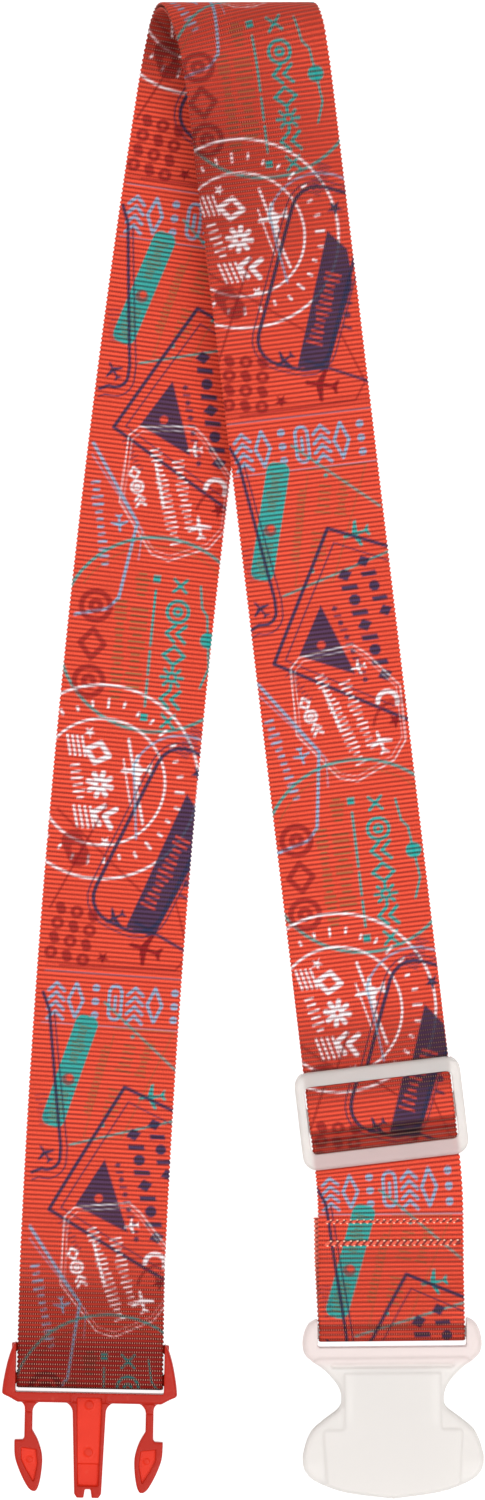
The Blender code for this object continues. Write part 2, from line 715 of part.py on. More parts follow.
for side, name in ((-1, "female_window_left"), (1, "female_window_right")):
    window = box(
        name,
        tuple(sorted((side * CORE_WIDTH / 2, side * 0.05))),
        (collar_y, band_y - 0.0045),
        (-SOCKET_HEIGHT / 2, SOCKET_HEIGHT / 2),
        frame=FEMALE_FRAME,
    )
    combine(female, window, "DIFFERENCE")
female_bar = bar_object(
    "female_bar",
    SLOT_WIDTH + 0.002,
    2 * FEMALE_BAR_RADIUS,
    2 * FEMALE_BAR_RADIUS,
    0,
    0,
    FEMALE_FRAME,
)
combine(female, female_bar, "UNION")

# ---- Male buckle: frame with its bars and guide prong ----
male_half = SLOT_WIDTH / 2 + MALE_EAR_WIDTH
band_low = -MALE_SLOT_TO_BAND - MALE_BAND
male_side = [
    (half_slot - 0.0006, MALE_EAR_REACH),
    (male_half - MALE_EAR_TAPER, MALE_EAR_REACH - 0.0012),
    (male_half - MALE_EAR_TAPER * 0.50, MALE_EAR_REACH * 0.50),
    (male_half - MALE_EAR_TAPER * 0.14, 0),
    (male_half, -MALE_SLOT_TO_BAND * 0.85),
    (male_half - 0.0002, -MALE_SLOT_TO_BAND - 0.0008),
    (male_half - 0.0024, band_low + 0.0016),
    (ARM_ROOT_X + ARM_STEM_WIDTH / 2 + ARM_OUTER_FILLET + 0.0003, band_low),
]
male_line = smooth_line(male_side, 3)
male = prism(
    "male_frame",
    male_line + [(-x, y) for x, y in reversed(male_line)],
    -MALE_THICKNESS / 2,
    MALE_THICKNESS / 2,
    PLASTIC_RED,
    MALE_FRAME,
)
soften(male, 0.0007)
end_bar_low = MALE_EAR_REACH - MALE_END_BAR_WIDTH
male_opening = box(
    "male_opening",
    (-half_slot, half_slot),
    (-MALE_SLOT_TO_BAND, 0.03),
    (-0.02, 0.02),
    frame=MALE_FRAME,
)
combine(male, male_opening, "DIFFERENCE")
for name, width, y in (
    ("male_lock_bar", MALE_LOCK_BAR_WIDTH, 0),
    ("male_end_bar", MALE_END_BAR_WIDTH, end_bar_low + MALE_END_BAR_WIDTH / 2 - 0.0005),
):
    tool = bar_object(name, SLOT_WIDTH + 0.003, width, MALE_BAR_THICKNESS, y, 0, MALE_FRAME)
    combine(male, tool, "UNION")
root = PRONG_ROOT_WIDTH / 2
tip = PRONG_END_WIDTH / 2
tip_y = band_low - PRONG_LENGTH
arm_in = ARM_ROOT_X - ARM_STEM_WIDTH / 2
arm_out = ARM_ROOT_X + ARM_STEM_WIDTH / 2


def fillet(x, radius, side, steps=4):
    """Points of a concave corner under the band, from the band down to a leg's flank at x."""
    points = []
    for i in range(steps + 1):
        angle = math.radians(90 * i / steps)
        points.append(
            (
                x + side * radius * (1 - math.sin(angle)),
                band_low + JOIN_OVERLAP - (radius + JOIN_OVERLAP) * (1 - math.cos(angle)),
            )
        )
    return points


prong_side = [(arm_out + ARM_OUTER_FILLET, band_low + 5 * JOIN_OVERLAP)]
prong_side += fillet(arm_out, ARM_OUTER_FILLET, 1)
prong_side += [(arm_out, band_low - ARM_STUB), (arm_in, band_low - ARM_STUB)]
prong_side += reversed(fillet(arm_in, ARM_INNER_FILLET, -1))
prong_side += fillet(root, PRONG_FILLET, 1)
prong_side += [
    (tip, tip_y + 0.0014),
    (tip - 0.0009, tip_y),
    (0.0014, tip_y),
    (0.0010, tip_y + 0.0018),
]
prong = prism(
    "male_prong",
    prong_side + [(-x, y) for x, y in reversed(prong_side)],
    -PRONG_THICKNESS / 2,
    PRONG_THICKNESS / 2,
    frame=MALE_FRAME,
)
combine(male, prong, "UNION")
for side, name in ((1, "prong_pocket_top"), (-1, "prong_pocket_under")):
    floor = side * (PRONG_THICKNESS / 2 - PRONG_POCKET_DEPTH)
    pocket = prism(
        name,
        [
            (-tip + 0.0012, tip_y + 0.0045),
            (tip - 0.0012, tip_y + 0.0045),
            (root - 0.0014, band_low - 0.0045),
            (-root + 0.0014, band_low - 0.0045),
        ],
        min(floor, side * 0.01),
        max(floor, side * 0.01),
        frame=MALE_FRAME,
    )
    combine(male, pocket, "DIFFERENCE")

# ---- Male buckle: the two spring arms ----
stem_in = -ARM_STEM_WIDTH / 2
stem_out = ARM_STEM_WIDTH / 2
head_top = ARM_STUB - ARM_STEM_LENGTH
head_low = head_top - ARM_HEAD_LENGTH
head_out = ARM_HEAD_OUT
head_in = head_out - ARM_HEAD_WIDTH
arm_outline = [
    (stem_out, -ARM_ROOT_GAP),
    (stem_out, head_top),
    (head_out, head_top - 0.0003),
    (head_out, head_top - 0.0012),
    (head_out - 0.0008, head_top - ARM_HEAD_LENGTH * 0.36),
    (head_out - 0.0025, head_top - ARM_HEAD_LENGTH * 0.68),
    (head_out - 0.0052, head_low + 0.0010),
    (head_out - 0.0073, head_low),
    (head_in + 0.0012, head_low + 0.0015),
    (head_in + 0.0003, head_low + ARM_HEAD_LENGTH * 0.32),
    (head_in, head_low + ARM_HEAD_LENGTH * 0.66),
    (head_in + 0.0014, head_top - 0.0008),
    (stem_in, head_top + 0.0032),
    (stem_in, -ARM_ROOT_GAP),
]
for side, name in ((-1, "male_arm_left"), (1, "male_arm_right")):
    outline = [(side * x, y) for x, y in arm_outline]
    hinge = MALE_FRAME @ Matrix.Translation((side * ARM_ROOT_X, band_low - ARM_STUB, 0))
    arm = prism(name, outline, -ARM_THICKNESS / 2, ARM_THICKNESS / 2, PLASTIC_RED, hinge)
    soften(arm, 0.0005, 1)

# ---- Seams: rows of thread standing on the outer faces ----
def seam(name, y, z, frame):
    half = WEBBING_WIDTH / 2 - SEAM_EDGE_INSET
    row = box(
        name,
        (-half, half),
        (y - THREAD_WIDTH / 2, y + THREAD_WIDTH / 2),
        (z, z + THREAD_HEIGHT),
        THREAD_RED,
        frame,
        STRAP,
    )
    soften(row, THREAD_HEIGHT * 0.4, 1)


front_face = HALF_WEBBING + 0.0001
seam("female_seam_upper", HEM_LENGTH - SEAM_UPPER_INSET, front_face, HEM_FRAME)
seam("female_seam_lower", HEM_LENGTH - SEAM_UPPER_INSET - SEAM_SPACING, front_face, HEM_FRAME)
tail_face = -2 * PITCH - HALF_WEBBING - 0.0001 - THREAD_HEIGHT
seam("slider_seam_upper", tail_end_y - SLIDER_SEAM_INSET, tail_face, SLIDER_FRAME)
seam("slider_seam_lower", tail_end_y - SLIDER_SEAM_INSET - SLIDER_SEAM_SPACING, tail_face, SLIDER_FRAME)


# ---- Joint axes as parents of what they carry ----
def axis_empty(name, frame, carried, parent=None):
    empty = bpy.data.objects.new(name, None)
    STRAP.objects.link(empty)
    empty.empty_display_size = 0.01
    empty.matrix_world = frame
    if parent:
        empty.parent = parent
        empty.matrix_parent_inverse = parent.matrix_world.inverted()
    bpy.context.view_layer.update()
    for carried_name in carried:
        obj = bpy.data.objects[carried_name]
        obj.parent = empty
        obj.matrix_parent_inverse = empty.matrix_world.inverted()
    return empty


fold_axis = axis_empty(
    "strap_fold_axis",
    Matrix.Translation((centre_x(CREST), FOLD_FRONT_Y, FOLD_Z)),
    [
        "webbing_right_front",
        "webbing_right_back",
        "webbing_end_hem",
        "female_seam_upper",
        "female_seam_lower",
    ],
)
axis_empty(
    "slider_travel_axis",
    SLIDER_FRAME,
    [
        "slider_frame",
        "webbing_slider_loop",
        "webbing_slider_arch",
        "slider_seam_upper",
        "slider_seam_lower",
    ],
    fold_axis,
)
axis_empty(
    "female_swing_axis",
    FEMALE_FRAME @ Matrix.Translation((0, (HEM_TO_FEMALE_BAR + FEMALE_EAR_REACH) / 2, -0.0015)),
    ["female_body", "webbing_female_loop"],
    fold_axis,
)
male_axis = axis_empty(
    "male_swing_axis",
    MALE_FRAME @ Matrix.Translation((0, MALE_AXIS, -0.001)),
    ["male_frame", "webbing_male_loop"],
)
for side, name in ((-1, "male_arm_left"), (1, "male_arm_right")):
    hinge = MALE_FRAME @ Matrix.Translation((side * ARM_ROOT_X, band_low - ARM_STUB, 0))
    axis_empty(name + "_axis", hinge, [name], male_axis)
bpy.context.view_layer.update()
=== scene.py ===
"""Printed luggage strap, folded once on a table, with a side-release buckle and a slide adjuster.

Metres, +Z up, +Y from the buckles to the fold. Along is the distance down the printed face, across the
distance from the webbing's centre line."""

import math

import bmesh
import bpy
import numpy as np
from mathutils import Matrix, Vector


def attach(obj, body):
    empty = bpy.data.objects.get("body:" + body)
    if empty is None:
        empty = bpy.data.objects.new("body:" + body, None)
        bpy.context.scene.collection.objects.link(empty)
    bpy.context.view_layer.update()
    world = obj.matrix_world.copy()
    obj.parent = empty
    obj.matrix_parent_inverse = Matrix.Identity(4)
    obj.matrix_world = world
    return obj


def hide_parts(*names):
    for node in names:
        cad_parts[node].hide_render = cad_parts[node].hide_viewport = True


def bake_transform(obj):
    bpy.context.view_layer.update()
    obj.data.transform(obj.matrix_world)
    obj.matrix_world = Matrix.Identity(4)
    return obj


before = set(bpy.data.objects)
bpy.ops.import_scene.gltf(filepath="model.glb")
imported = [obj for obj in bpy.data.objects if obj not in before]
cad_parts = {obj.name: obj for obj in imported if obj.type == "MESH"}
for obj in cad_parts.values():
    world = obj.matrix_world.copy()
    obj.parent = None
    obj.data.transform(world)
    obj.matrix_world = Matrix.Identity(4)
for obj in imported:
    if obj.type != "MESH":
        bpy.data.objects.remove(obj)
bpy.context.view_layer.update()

# ---- Webbing: how the strap lies ----
# One 50 mm polyester strap, 1.2 mm thick, doubled on both strands. The path below is the middle surface
# between its two layers: flat on the left, an arc at the fold, then a straight climb down to the slider.
WIDTH = 0.050
THICKNESS = 0.0012
PITCH = 0.0015
HALF_PITCH = PITCH / 2
LAYER_GAP = 0.0003
SLOPE = math.radians(3.0)
FOLD_RADIUS = 0.011809
FOLD_Y = 0.244241
LEFT_Z = 0.00135
ARC_LENGTH = FOLD_RADIUS * (math.pi + SLOPE)
CREST = FOLD_RADIUS * math.pi / 2
ARC_END_Y = FOLD_Y - FOLD_RADIUS * math.sin(SLOPE)
FEMALE_BAR = Vector((0.0512578, -0.2002, 0.006))
MALE_BAR = Vector((-0.052805, -0.2165, 0.00375))
SLIDER_Y = -0.1247
SLIDER_LENGTH = 0.034
HEM_END_Y = -0.1762
HEM_LENGTH = 0.0152
FEMALE_TILT = 0.010
MALE_TILT = 0.020
RIGHT_TILT = 0.119
MALE_JOIN = 0.0285
LEFT_TILT_LOW = 0.047
LEFT_TILT_HIGH = 0.160
TILT_REACH = 0.0245
TABLE_STEP = 0.0001


def run_at_left(y):
    return y - FOLD_Y


def run_at_right(y):
    return ARC_LENGTH + (ARC_END_Y - y) / math.cos(SLOPE)


SLIDER_RUN = run_at_right(SLIDER_Y)
HEM_END_RUN = run_at_right(HEM_END_Y)
MALE_JOIN_RUN = run_at_left(MALE_BAR.y + MALE_JOIN * math.cos(MALE_TILT))
TILTS = np.array(
    [
        (MALE_JOIN_RUN - 0.05, MALE_TILT),
        (MALE_JOIN_RUN, MALE_TILT),
        (MALE_JOIN_RUN + 0.02, LEFT_TILT_LOW),
        (CREST - TILT_REACH, LEFT_TILT_HIGH),
        (CREST, (LEFT_TILT_HIGH + RIGHT_TILT) / 2),
        (CREST + TILT_REACH, RIGHT_TILT),
        (SLIDER_RUN + SLIDER_LENGTH / 2, RIGHT_TILT),
        (SLIDER_RUN + SLIDER_LENGTH / 2 + 0.018, FEMALE_TILT),
        (HEM_END_RUN + 0.05, FEMALE_TILT),
    ]
)
TABLE_RUN = np.arange(TILTS[0, 0], TILTS[-1, 0], TABLE_STEP)
TABLE_TILT = np.interp(TABLE_RUN, TILTS[:, 0], TILTS[:, 1])
TABLE_TILT += 0.20 * np.exp(-(((TABLE_RUN - CREST) / 0.020) ** 2))


def running_sum(values):
    return np.concatenate([[0], np.cumsum((values[1:] + values[:-1]) / 2 * TABLE_STEP)])


TABLE_X = running_sum(TABLE_TILT)
TABLE_X += -0.0023 - np.interp(CREST, TABLE_RUN, TABLE_X)
TABLE_LENGTH = running_sum(np.sqrt(1 + TABLE_TILT**2))


def length_at(run):
    """Distance along the webbing itself at this distance along the middle surface."""
    return np.interp(run, TABLE_RUN, TABLE_LENGTH)


def strand_path(lengths, across, offset):
    """Points and outward normals of a layer, for lengths along the webbing and distances across it."""
    run = np.interp(lengths, TABLE_LENGTH, TABLE_RUN)
    angle = np.arctan(np.interp(run, TABLE_RUN, TABLE_TILT))
    on = run[:, None] - across[None, :] * np.sin(angle)[:, None]
    x = np.interp(run, TABLE_RUN, TABLE_X)[:, None] + across[None, :] * np.cos(angle)[:, None]
    turn = np.clip(on, 0, ARC_LENGTH) / FOLD_RADIUS - math.pi / 2
    ny, nz = np.cos(turn), np.sin(turn)
    left = np.minimum(on, 0)
    right = np.maximum(on - ARC_LENGTH, 0)
    y = FOLD_Y + ny * (FOLD_RADIUS + offset) + left - right * math.cos(SLOPE)
    z = LEFT_Z + FOLD_RADIUS + nz * (FOLD_RADIUS + offset) - right * math.sin(SLOPE)
    points = np.stack([x, y, z], -1)
    return points, np.stack([np.zeros_like(ny), ny, nz], -1)


def layer_point(run, offset):
    """The point on a layer's centre line at this distance along the middle surface."""
    return Vector(strand_path(length_at(np.array([run])), np.array([0.0]), offset)[0][0, 0])


def strand_frame(run, tilt):
    """The frame of a piece that sits on the right strand's front layer."""
    return (
        Matrix.Translation(layer_point(run, HALF_PITCH))
        @ Matrix.Rotation(SLOPE, 4, "X")
        @ Matrix.Rotation(math.atan(tilt), 4, "Z")
    )


def profile_path(profile, place, drift=None):
    """The same for webbing across a profile of (y, z) points in a buckle's own frame.

    The printed face is on the left of the profile's direction. Returns the path and its length."""
    line = np.array(profile)
    steps = np.hypot(*np.diff(line, axis=0).T)
    at = np.concatenate([[0], np.cumsum(steps)])
    tangent = np.gradient(line, at, axis=0)
    tangent /= np.linalg.norm(tangent, axis=1)[:, None]
    turn, shift = np.array(place.to_3x3()), np.array(place.translation)

    def path(lengths, across, offset=0.0):
        y, z, ty, tz = (np.interp(lengths, at, column) for column in (*line.T, *tangent.T))
        normal = np.stack([np.zeros_like(ty), -tz, ty], -1)
        local = np.zeros((len(lengths), len(across), 3))
        local[:, :, 0] = across[None, :]
        if drift:
            local[:, :, 0] += np.array([drift(s / at[-1]) for s in lengths])[:, None]
        local[:, :, 1] = (y + offset * normal[:, 1])[:, None]
        local[:, :, 2] = (z + offset * normal[:, 2])[:, None]
        normals = np.repeat(normal[:, None, :], len(across), 1)
        return local @ turn.T + shift, normals @ turn.T

    return path, at[-1]


# ---- Webbing: the print ----
# Heat-transfer ink on one face of the webbing, repeated every 272 mm: rings, frames, planes, stars, plain
# signs and rows of ticks in six inks on a red ground. Millimetres, as (down the strap, across it).
REPEAT = 272.0
GROUND = (0.84, 0.088, 0.044)
TEAL = (0.01, 0.40, 0.37)
NAVY = (0.034, 0.036, 0.100)
PALE = (0.22, 0.46, 0.66)
WHITE = (0.88, 0.87, 0.90)
MAROON = (0.30, 0.010, 0.014)
OLIVE = (0.19, 0.16, 0.055)
SOFTNESS = 0.40
marks = []


def stroke(ink, width, points, closed=False, strength=0.95):
    points = list(points) + ([points[0]] if closed else [])
    marks.append(("stroke", ink, strength, width, np.array(points, float)))


def fill(ink, points, strength=0.96):
    marks.append(("fill", ink, strength, 0, np.array(points, float)))


def circle(centre, radius, start=0, end=360, steps=40):
    turns = np.radians(np.linspace(start, end, steps + 1))
    return [(centre[0] + radius * math.cos(t), centre[1] + radius * math.sin(t)) for t in turns]


def shaped(points, centre, size, turn):
    c, s = math.cos(math.radians(turn)), math.sin(math.radians(turn))
    return [
        (centre[0] + size * (a * c - b * s), centre[1] + size * (a * s + b * c)) for a, b in points
    ]


def round_frame(centre, size, radius, turn):
    points = []
    for sx, sy, first in ((1, 1, 0), (-1, 1, 90), (-1, -1, 180), (1, -1, 270)):
        corner = (sx * (size[0] / 2 - radius), sy * (size[1] / 2 - radius))
        points += circle(corner, radius, first, first + 90, 5)
    return shaped(points, centre, 1, turn)


PLANE = [(-1, 0), (-0.85, 0.12), (-0.3, 0.13), (0.05, 0.95), (0.25, 0.95), (0.12, 0.13), (0.62, 0.10)]
PLANE += [(0.85, 0.38), (1, 0.38), (0.9, 0)]
PLANE += [(a, -b) for a, b in reversed(PLANE[1:-1])]
STAR = [
    (r * math.cos(math.radians(36 * i)), r * math.sin(math.radians(36 * i)))
    for i, r in enumerate([1, 0.4] * 5)
]
# Plain geometric signs as unit outlines
SIGNS = {
    "chevrons": [[(at + 0.3, -0.6), (at - 0.15, 0), (at + 0.3, 0.6)] for at in (-0.8, -0.25, 0.3, 0.85)],
    "pair": [[(at + 0.4, -0.8), (at - 0.4, 0), (at + 0.4, 0.8)] for at in (-0.5, 0.5)],
    "gem": [[(-1, 0), (0, 0.85), (1, 0), (0, -0.85), (-1, 0)]],
    "discs": [circle((at, 0), 0.13, steps=8) for at in (-0.8, 0, 0.8)],
    "pill": [round_frame((0, 0), (2.0, 0.95), 0.45, 0), [(-0.35, 0), (0.35, 0)]],
    "target": [circle((0, 0), 1, steps=20), circle((0, 0), 0.35, steps=10)],
    "sun": [circle((0, 0), 0.4, steps=12)]
    + [
        [(r * math.cos(t), r * math.sin(t)) for r in (0.72, 1)]
        for t in np.arange(0, 6.2, 0.785)
    ],
}


def sign(ink, width, name, centre, size, turn=0, stretch=1.0, strength=0.95):
    for line in SIGNS[name]:
        scaled = [(a, b * stretch) for a, b in line]
        stroke(ink, width, shaped(scaled, centre, size, turn), False, strength)


def plane(ink, centre, size, turn):
    fill(ink, shaped(PLANE, centre, size, turn))


def star(ink, centre, size, turn=0):
    fill(ink, shaped(STAR, centre, size, turn))


def ticks(ink, start, end, count, height, width, strength=0.95, seed=1):
    """A row of short bars of uneven height across the line from start to end."""
    rng = np.random.default_rng(seed)
    start, end = np.array(start, float), np.array(end, float)
    along = (end - start) / np.linalg.norm(end - start)
    square = np.array([-along[1], along[0]])
    for i in range(count):
        at = start + (end - start) * (i + 0.5) / count
        reach = square * height / 2 * rng.choice([0.5, 0.75, 1.0])
        stroke(ink, width, [at - reach, at + reach], False, strength)


def beads(ink, start, end, count, size, strength=0.95):
    """A row of heavy diamonds, discs and slanted blocks."""
    start, end = np.array(start, float), np.array(end, float)
    lean = math.degrees(math.atan2(*(end - start)[::-1]))
    slab = [(-0.30, -0.5), (-0.05, 0.5), (0.30, 0.5), (0.05, -0.5)]
    gem = [(-0.42, 0), (0, 0.5), (0.42, 0), (0, -0.5)]
    for i in range(count):
        at = start + (end - start) * (i + 0.5) / count
        shape = (gem, slab, circle((0, 0), 0.38, steps=10), slab)[i % 4]
        fill(ink, shaped(shape, at, size, lean), strength)


# Row of tall pale signs between thin border lines
for at, ink, strength in ((-14.2, MAROON, 0.6), (-12.2, MAROON, 0.7), (-9.8, PALE, 0.5), (8.6, PALE, 0.55)):
    stroke(ink, 0.4, [(at, -24.8), (at, 24.8)], strength=strength)
row = ("chevrons", "gem", "discs", "pill", "chevrons", "gem", "discs")
for i, name in enumerate(row):
    sign(PALE, 1.15, name, (0.0, -20.4 + 6.8 * i), 6.0, 0, {"gem": 0.5, "discs": 1}.get(name, 0.75), 0.9)
# Teal slanted bar with a disc left open in it, and the navy double line beside it
fill(TEAL, round_frame((25.0, -14.0), (41, 8.0), 2.8, -15.5))
ticks(OLIVE, (8.5, -9.8), (22, -13.4), 11, 4.4, 0.55, 0.8, 3)
fill(MAROON, circle((28.0, -14.4), 2.2, steps=16), 0.7)
fill(GROUND, circle((27.4, -14.0), 1.2, steps=12))
ticks(OLIVE, (32, -16), (43, -19.0), 9, 4.2, 0.55, 0.8, 4)
corner = circle((55.5, -20.2), 4.6, 80, -20, 8)
stroke(NAVY, 1.15, [(-2, -25), (4, -22.4), (52, -15.6)] + corner + [(61.3, -25)])
stroke(NAVY, 0.5, [(5, -20.6), (52, -13.4)] + circle((56.5, -20.2), 6.8, 80, -20, 8) + [(64, -25)])
plane(NAVY, (54.6, -20.8), 3.4, 35)
ticks(NAVY, (33, -23.4), (45, -21.6), 7, 4, 0.45, 0.6, 5)
# Thin teal triangle with a plane, and olive rows
stroke(TEAL, 0.85, [(0, -3.7), (24, 24)], strength=0.8)
stroke(TEAL, 0.8, [(40, 24.8), (51, -12.5)], strength=0.85)
plane(TEAL, (32.5, 14.8), 4.8, 100)
stroke(OLIVE, 0.35, [(9, 0.5), (9, 21), (48, 5), (48, -8), (11, 0.5)], strength=0.6)
for first, last, count, tall, seed in (
    ((14, 6.4), (25, 4.0), 5, 5.0, 6),
    ((30, 2.6), (41, 0.2), 5, 5.0, 7),
    ((13, 13), (26, 10), 8, 3.6, 8),
    ((15, -1.8), (40, -7.6), 16, 2.4, 21),
):
    ticks(OLIVE, first, last, count, tall, 0.6, 0.75, seed)
for at in ((11.5, 6.8), (43.5, -1.6)):
    fill(TEAL, circle(at, 0.8, steps=8), 0.9)
# Navy tilted frame around a solid triangle, with heavy beads
stroke(NAVY, 1.25, [(38.0, 24.8), (29.6, 5.2), (73.8, -18.5), (98, 24.8)])
stroke(NAVY, 0.5, [(43, 24.8), (34.8, 6.8), (73.0, -14.4), (93, 21)], strength=0.9)
fill(NAVY, [(55.6, -0.2), (72.0, -9.6), (80.6, 9.0)], 0.93)
fill(GROUND, circle((69.2, -1.6), 1.5, steps=10), 0.9)
beads(NAVY, (44, 8.6), (84, 19.6), 9, 5.4)
beads(NAVY, (40, 15.4), (62, 22.4), 5, 5.0)
beads(NAVY, (56, 4.0), (84, 12.4), 11, 2.5, 0.85)
ticks(NAVY, (77, -14), (88, -7.6), 8, 3.0, 0.5, 0.7, 22)
# White tilted label with rows of ticks, an arc and small planes
label = [(72.6, -9.6), (70.2, 9), (73.6, 13.2), (86, 23.6), (105, 23.4), (111.4, 18.8), (117.4, 5.4)]
label += [(115.6, -0.8), (99, -13.6), (76, -13)]
middle = np.mean(label, axis=0)
stroke(WHITE, 0.42, label, True, 0.8)
stroke(WHITE, 0.3, [middle + (np.array(point) - middle) * 0.93 for point in label], True, 0.45)
ticks(WHITE, (79, -3.8), (112, 7.6), 19, 3.6, 0.6, 0.95, 9)
ticks(WHITE, (82, 4.6), (106, 11.6), 13, 3.6, 0.6, 0.95, 10)
for i, name in enumerate(("gem", "target", "pair")):
    sign(WHITE, 0.9, name, (88.6 + 4.6 * i, -9.6 + 1.5 * i), 2.0, 18)
stroke(WHITE, 0.9, [(84.5, -2.6), (98.6, 1.6)])
stroke(WHITE, 1.6, circle((91.0, 18.8), 3.4, 70, 270, 12))
plane(WHITE, (104.8, 14.8), 4.2, 15)
plane(WHITE, (78.2, 10.2), 2.7, 100)
stroke(MAROON, 1.1, circle((100, 22), 9, 100, 260, 12), strength=0.65)
star(MAROON, (98, 20.6), 2.8)
# Pale cord line with ticks beside it
stroke(PALE, 1.1, [(80, -24.8), (105.5, -6.7), (131.8, -10.4), (136, -14), (139, -24.8)], strength=0.9)
stroke(PALE, 0.4, [(84, -24.8), (108, -4.6), (118, -5)], strength=0.7)
ticks(PALE, (92, -22.8), (122, -16.0), 12, 3.2, 1.0, 0.85, 12)
plane(PALE, (106.4, -12.8), 3.2, 190)
stroke(TEAL, 1.1, circle((143.2, 3.4), 33.6, steps=60), strength=0.85)
stroke(OLIVE, 0.4, circle((143.2, 3.4), 30.4, 130, 240, 24), strength=0.6)
# Teal signs in a column, with a dashed line and the blob at the edge
for i, name in enumerate(("target", "pair", "gem", "sun", "pair")):
    sign(TEAL, 1.25, name, (134.6 + 7.6 * i, 10.4), 3.7, 90)
for at in (125.6, 172.6):
    for side in (-1, 1):
        stroke(TEAL, 1.1, [(at - 2.2, 10.4 - 2.2 * side), (at + 2.2, 10.4 + 2.2 * side)])
for first, last in ((128, 147), (149, 157), (159, 168)):
    stroke(TEAL, 0.9, [(first, 2.1), (last, 2.1)])
for at in (124, 172):
    fill(TEAL, [(at - 1.3, 0.8), (at - 1.3, 3.4), (at + 1.3, 3.4), (at + 1.3, 0.8)])
fill(TEAL, circle((143.4, 21.6), 2.8, steps=14))
stroke(TEAL, 0.8, [(125, 17.4), (132.5, 18.6), (135, 20.6), (153, 22.8), (160, 20.4)])
for first, last, count, tall, seed in (
    ((134, -2.8), (163, -2.8), 13, 5.4, 13),
    ((122, -2.8), (131, -2.8), 5, 4.6, 14),
    ((132, -9.4), (167, -8.4), 18, 3.6, 15),
):
    ticks(OLIVE, first, last, count, tall, 0.65, 0.85, seed)
for first in (130.0, 143, 156):
    sign(MAROON, 1.9, "gem" if first == 143 else "target", (first + 5.4, -18), 5.0, 0, 1, 0.7)
# White double ring with an aircraft, three solid signs, stars and stripes
RING = (195.5, -10.4)
for radius, width in ((33.4, 0.85), (21.8, 0.8)):
    stroke(WHITE, width, circle(RING, radius, steps=64))
for i in range(25):
    turn = math.radians(-142 + i * 11.6)
    near, far = ((25.8, 28.4), (26.4, 27.8), (25.9, 27.0), (26.8, 28.4))[i % 4]
    ends = [
        (RING[0] + r * math.cos(turn + math.pi / 2), RING[1] + r * math.sin(turn + math.pi / 2))
        for r in (near, far)
    ]
    stroke(WHITE, 0.9, ends)
for name, at in (("gem", (185.6, -12.6)), ("sun", (196.4, -11.0)), ("pair", (207.0, -9.0))):
    sign(WHITE, 1.75, name, at, 4.1, 78)
star(WHITE, (178.8, -16.0), 2.0, 10)
star(WHITE, (216.0, -7.6), 2.0, 10)
stroke(WHITE, 0.9, [(180, -2.4), (208.6, 4.8)])
stroke(WHITE, 0.5, [(187, -3.6), (203, 0.2)])
plane(WHITE, (190.4, 1.2), 5.6, 98)
fill(WHITE, circle((190.6, 1.4), 2.1, steps=14))
for i in range(4):
    stroke(WHITE, 0.75, [(180.4, -23.6 + 1.7 * i), (187.0, -22.0 + 1.7 * i)])
    stroke(WHITE, 0.8, [(204.4, -19.4 + 1.9 * i), (211.4, -17.6 + 1.9 * i)])
ticks(WHITE, (189.4, -20.4), (202.6, -17.2), 6, 3.6, 0.75, 0.95, 16)
# Navy slanted band in a rounded frame, with a plane
fill(NAVY, [(197, 19.2), (204.4, 25), (217, 25), (248, 11.6), (245, 1.8)], 0.94)
ticks(GROUND, (212, 19.4), (238, 8.4), 13, 5.0, 0.8, 0.9, 17)
stroke(NAVY, 1.3, round_frame((214, 11), (66, 25), 9, -22), True)
stroke(NAVY, 0.5, round_frame((214, 11), (70, 29), 11, -22), True, 0.9)
plane(NAVY, (242, -2.2), 3.8, 120)
star(NAVY, (189.6, 22.6), 2.8)
ticks(NAVY, (174, 21), (184, 15.6), 11, 5, 0.45, 0.75, 18)
stroke(PALE, 0.8, circle((195, 17), 18, 120, 250, 20) + [(214, 3)], strength=0.75)
# Maroon cross lines, blobs and plane
stroke(MAROON, 0.8, [(203, -8), (240, -24.8)], strength=0.65)
stroke(MAROON, 0.8, [(206, -24.8), (232, 6)], strength=0.65)
fill(MAROON, round_frame((219, -17.6), (13, 7.6), 3.6, 28), 0.72)
fill(GROUND, circle((219, -17.6), 1.6, steps=12), 0.8)
for i in range(4):
    for j in range(3):
        at = (240.0 + 5.2 * i + 1.0 * j, -21 + 5.6 * j - 0.8 * i)
        if (i + j) % 2:
            stroke(MAROON, 1.4, circle(at, 1.6, steps=12), True, 0.75)
        else:
            fill(MAROON, round_frame(at, (4.4, 3.2), 1.3, 20), 0.75)
star(MAROON, (256.4, -5.4), 2.4)
plane(MAROON, (252.4, 9.0), 6.0, 75)
stroke(MAROON, 0.6, [(234, 18), (253, 24), (259, 20), (260, -20)], strength=0.7)
stroke(NAVY, 1.1, [(243, 5), (253, 24.8)], strength=0.9)
beads(NAVY, (217, 23.4), (235, 20.4), 4, 3.2, 0.85)


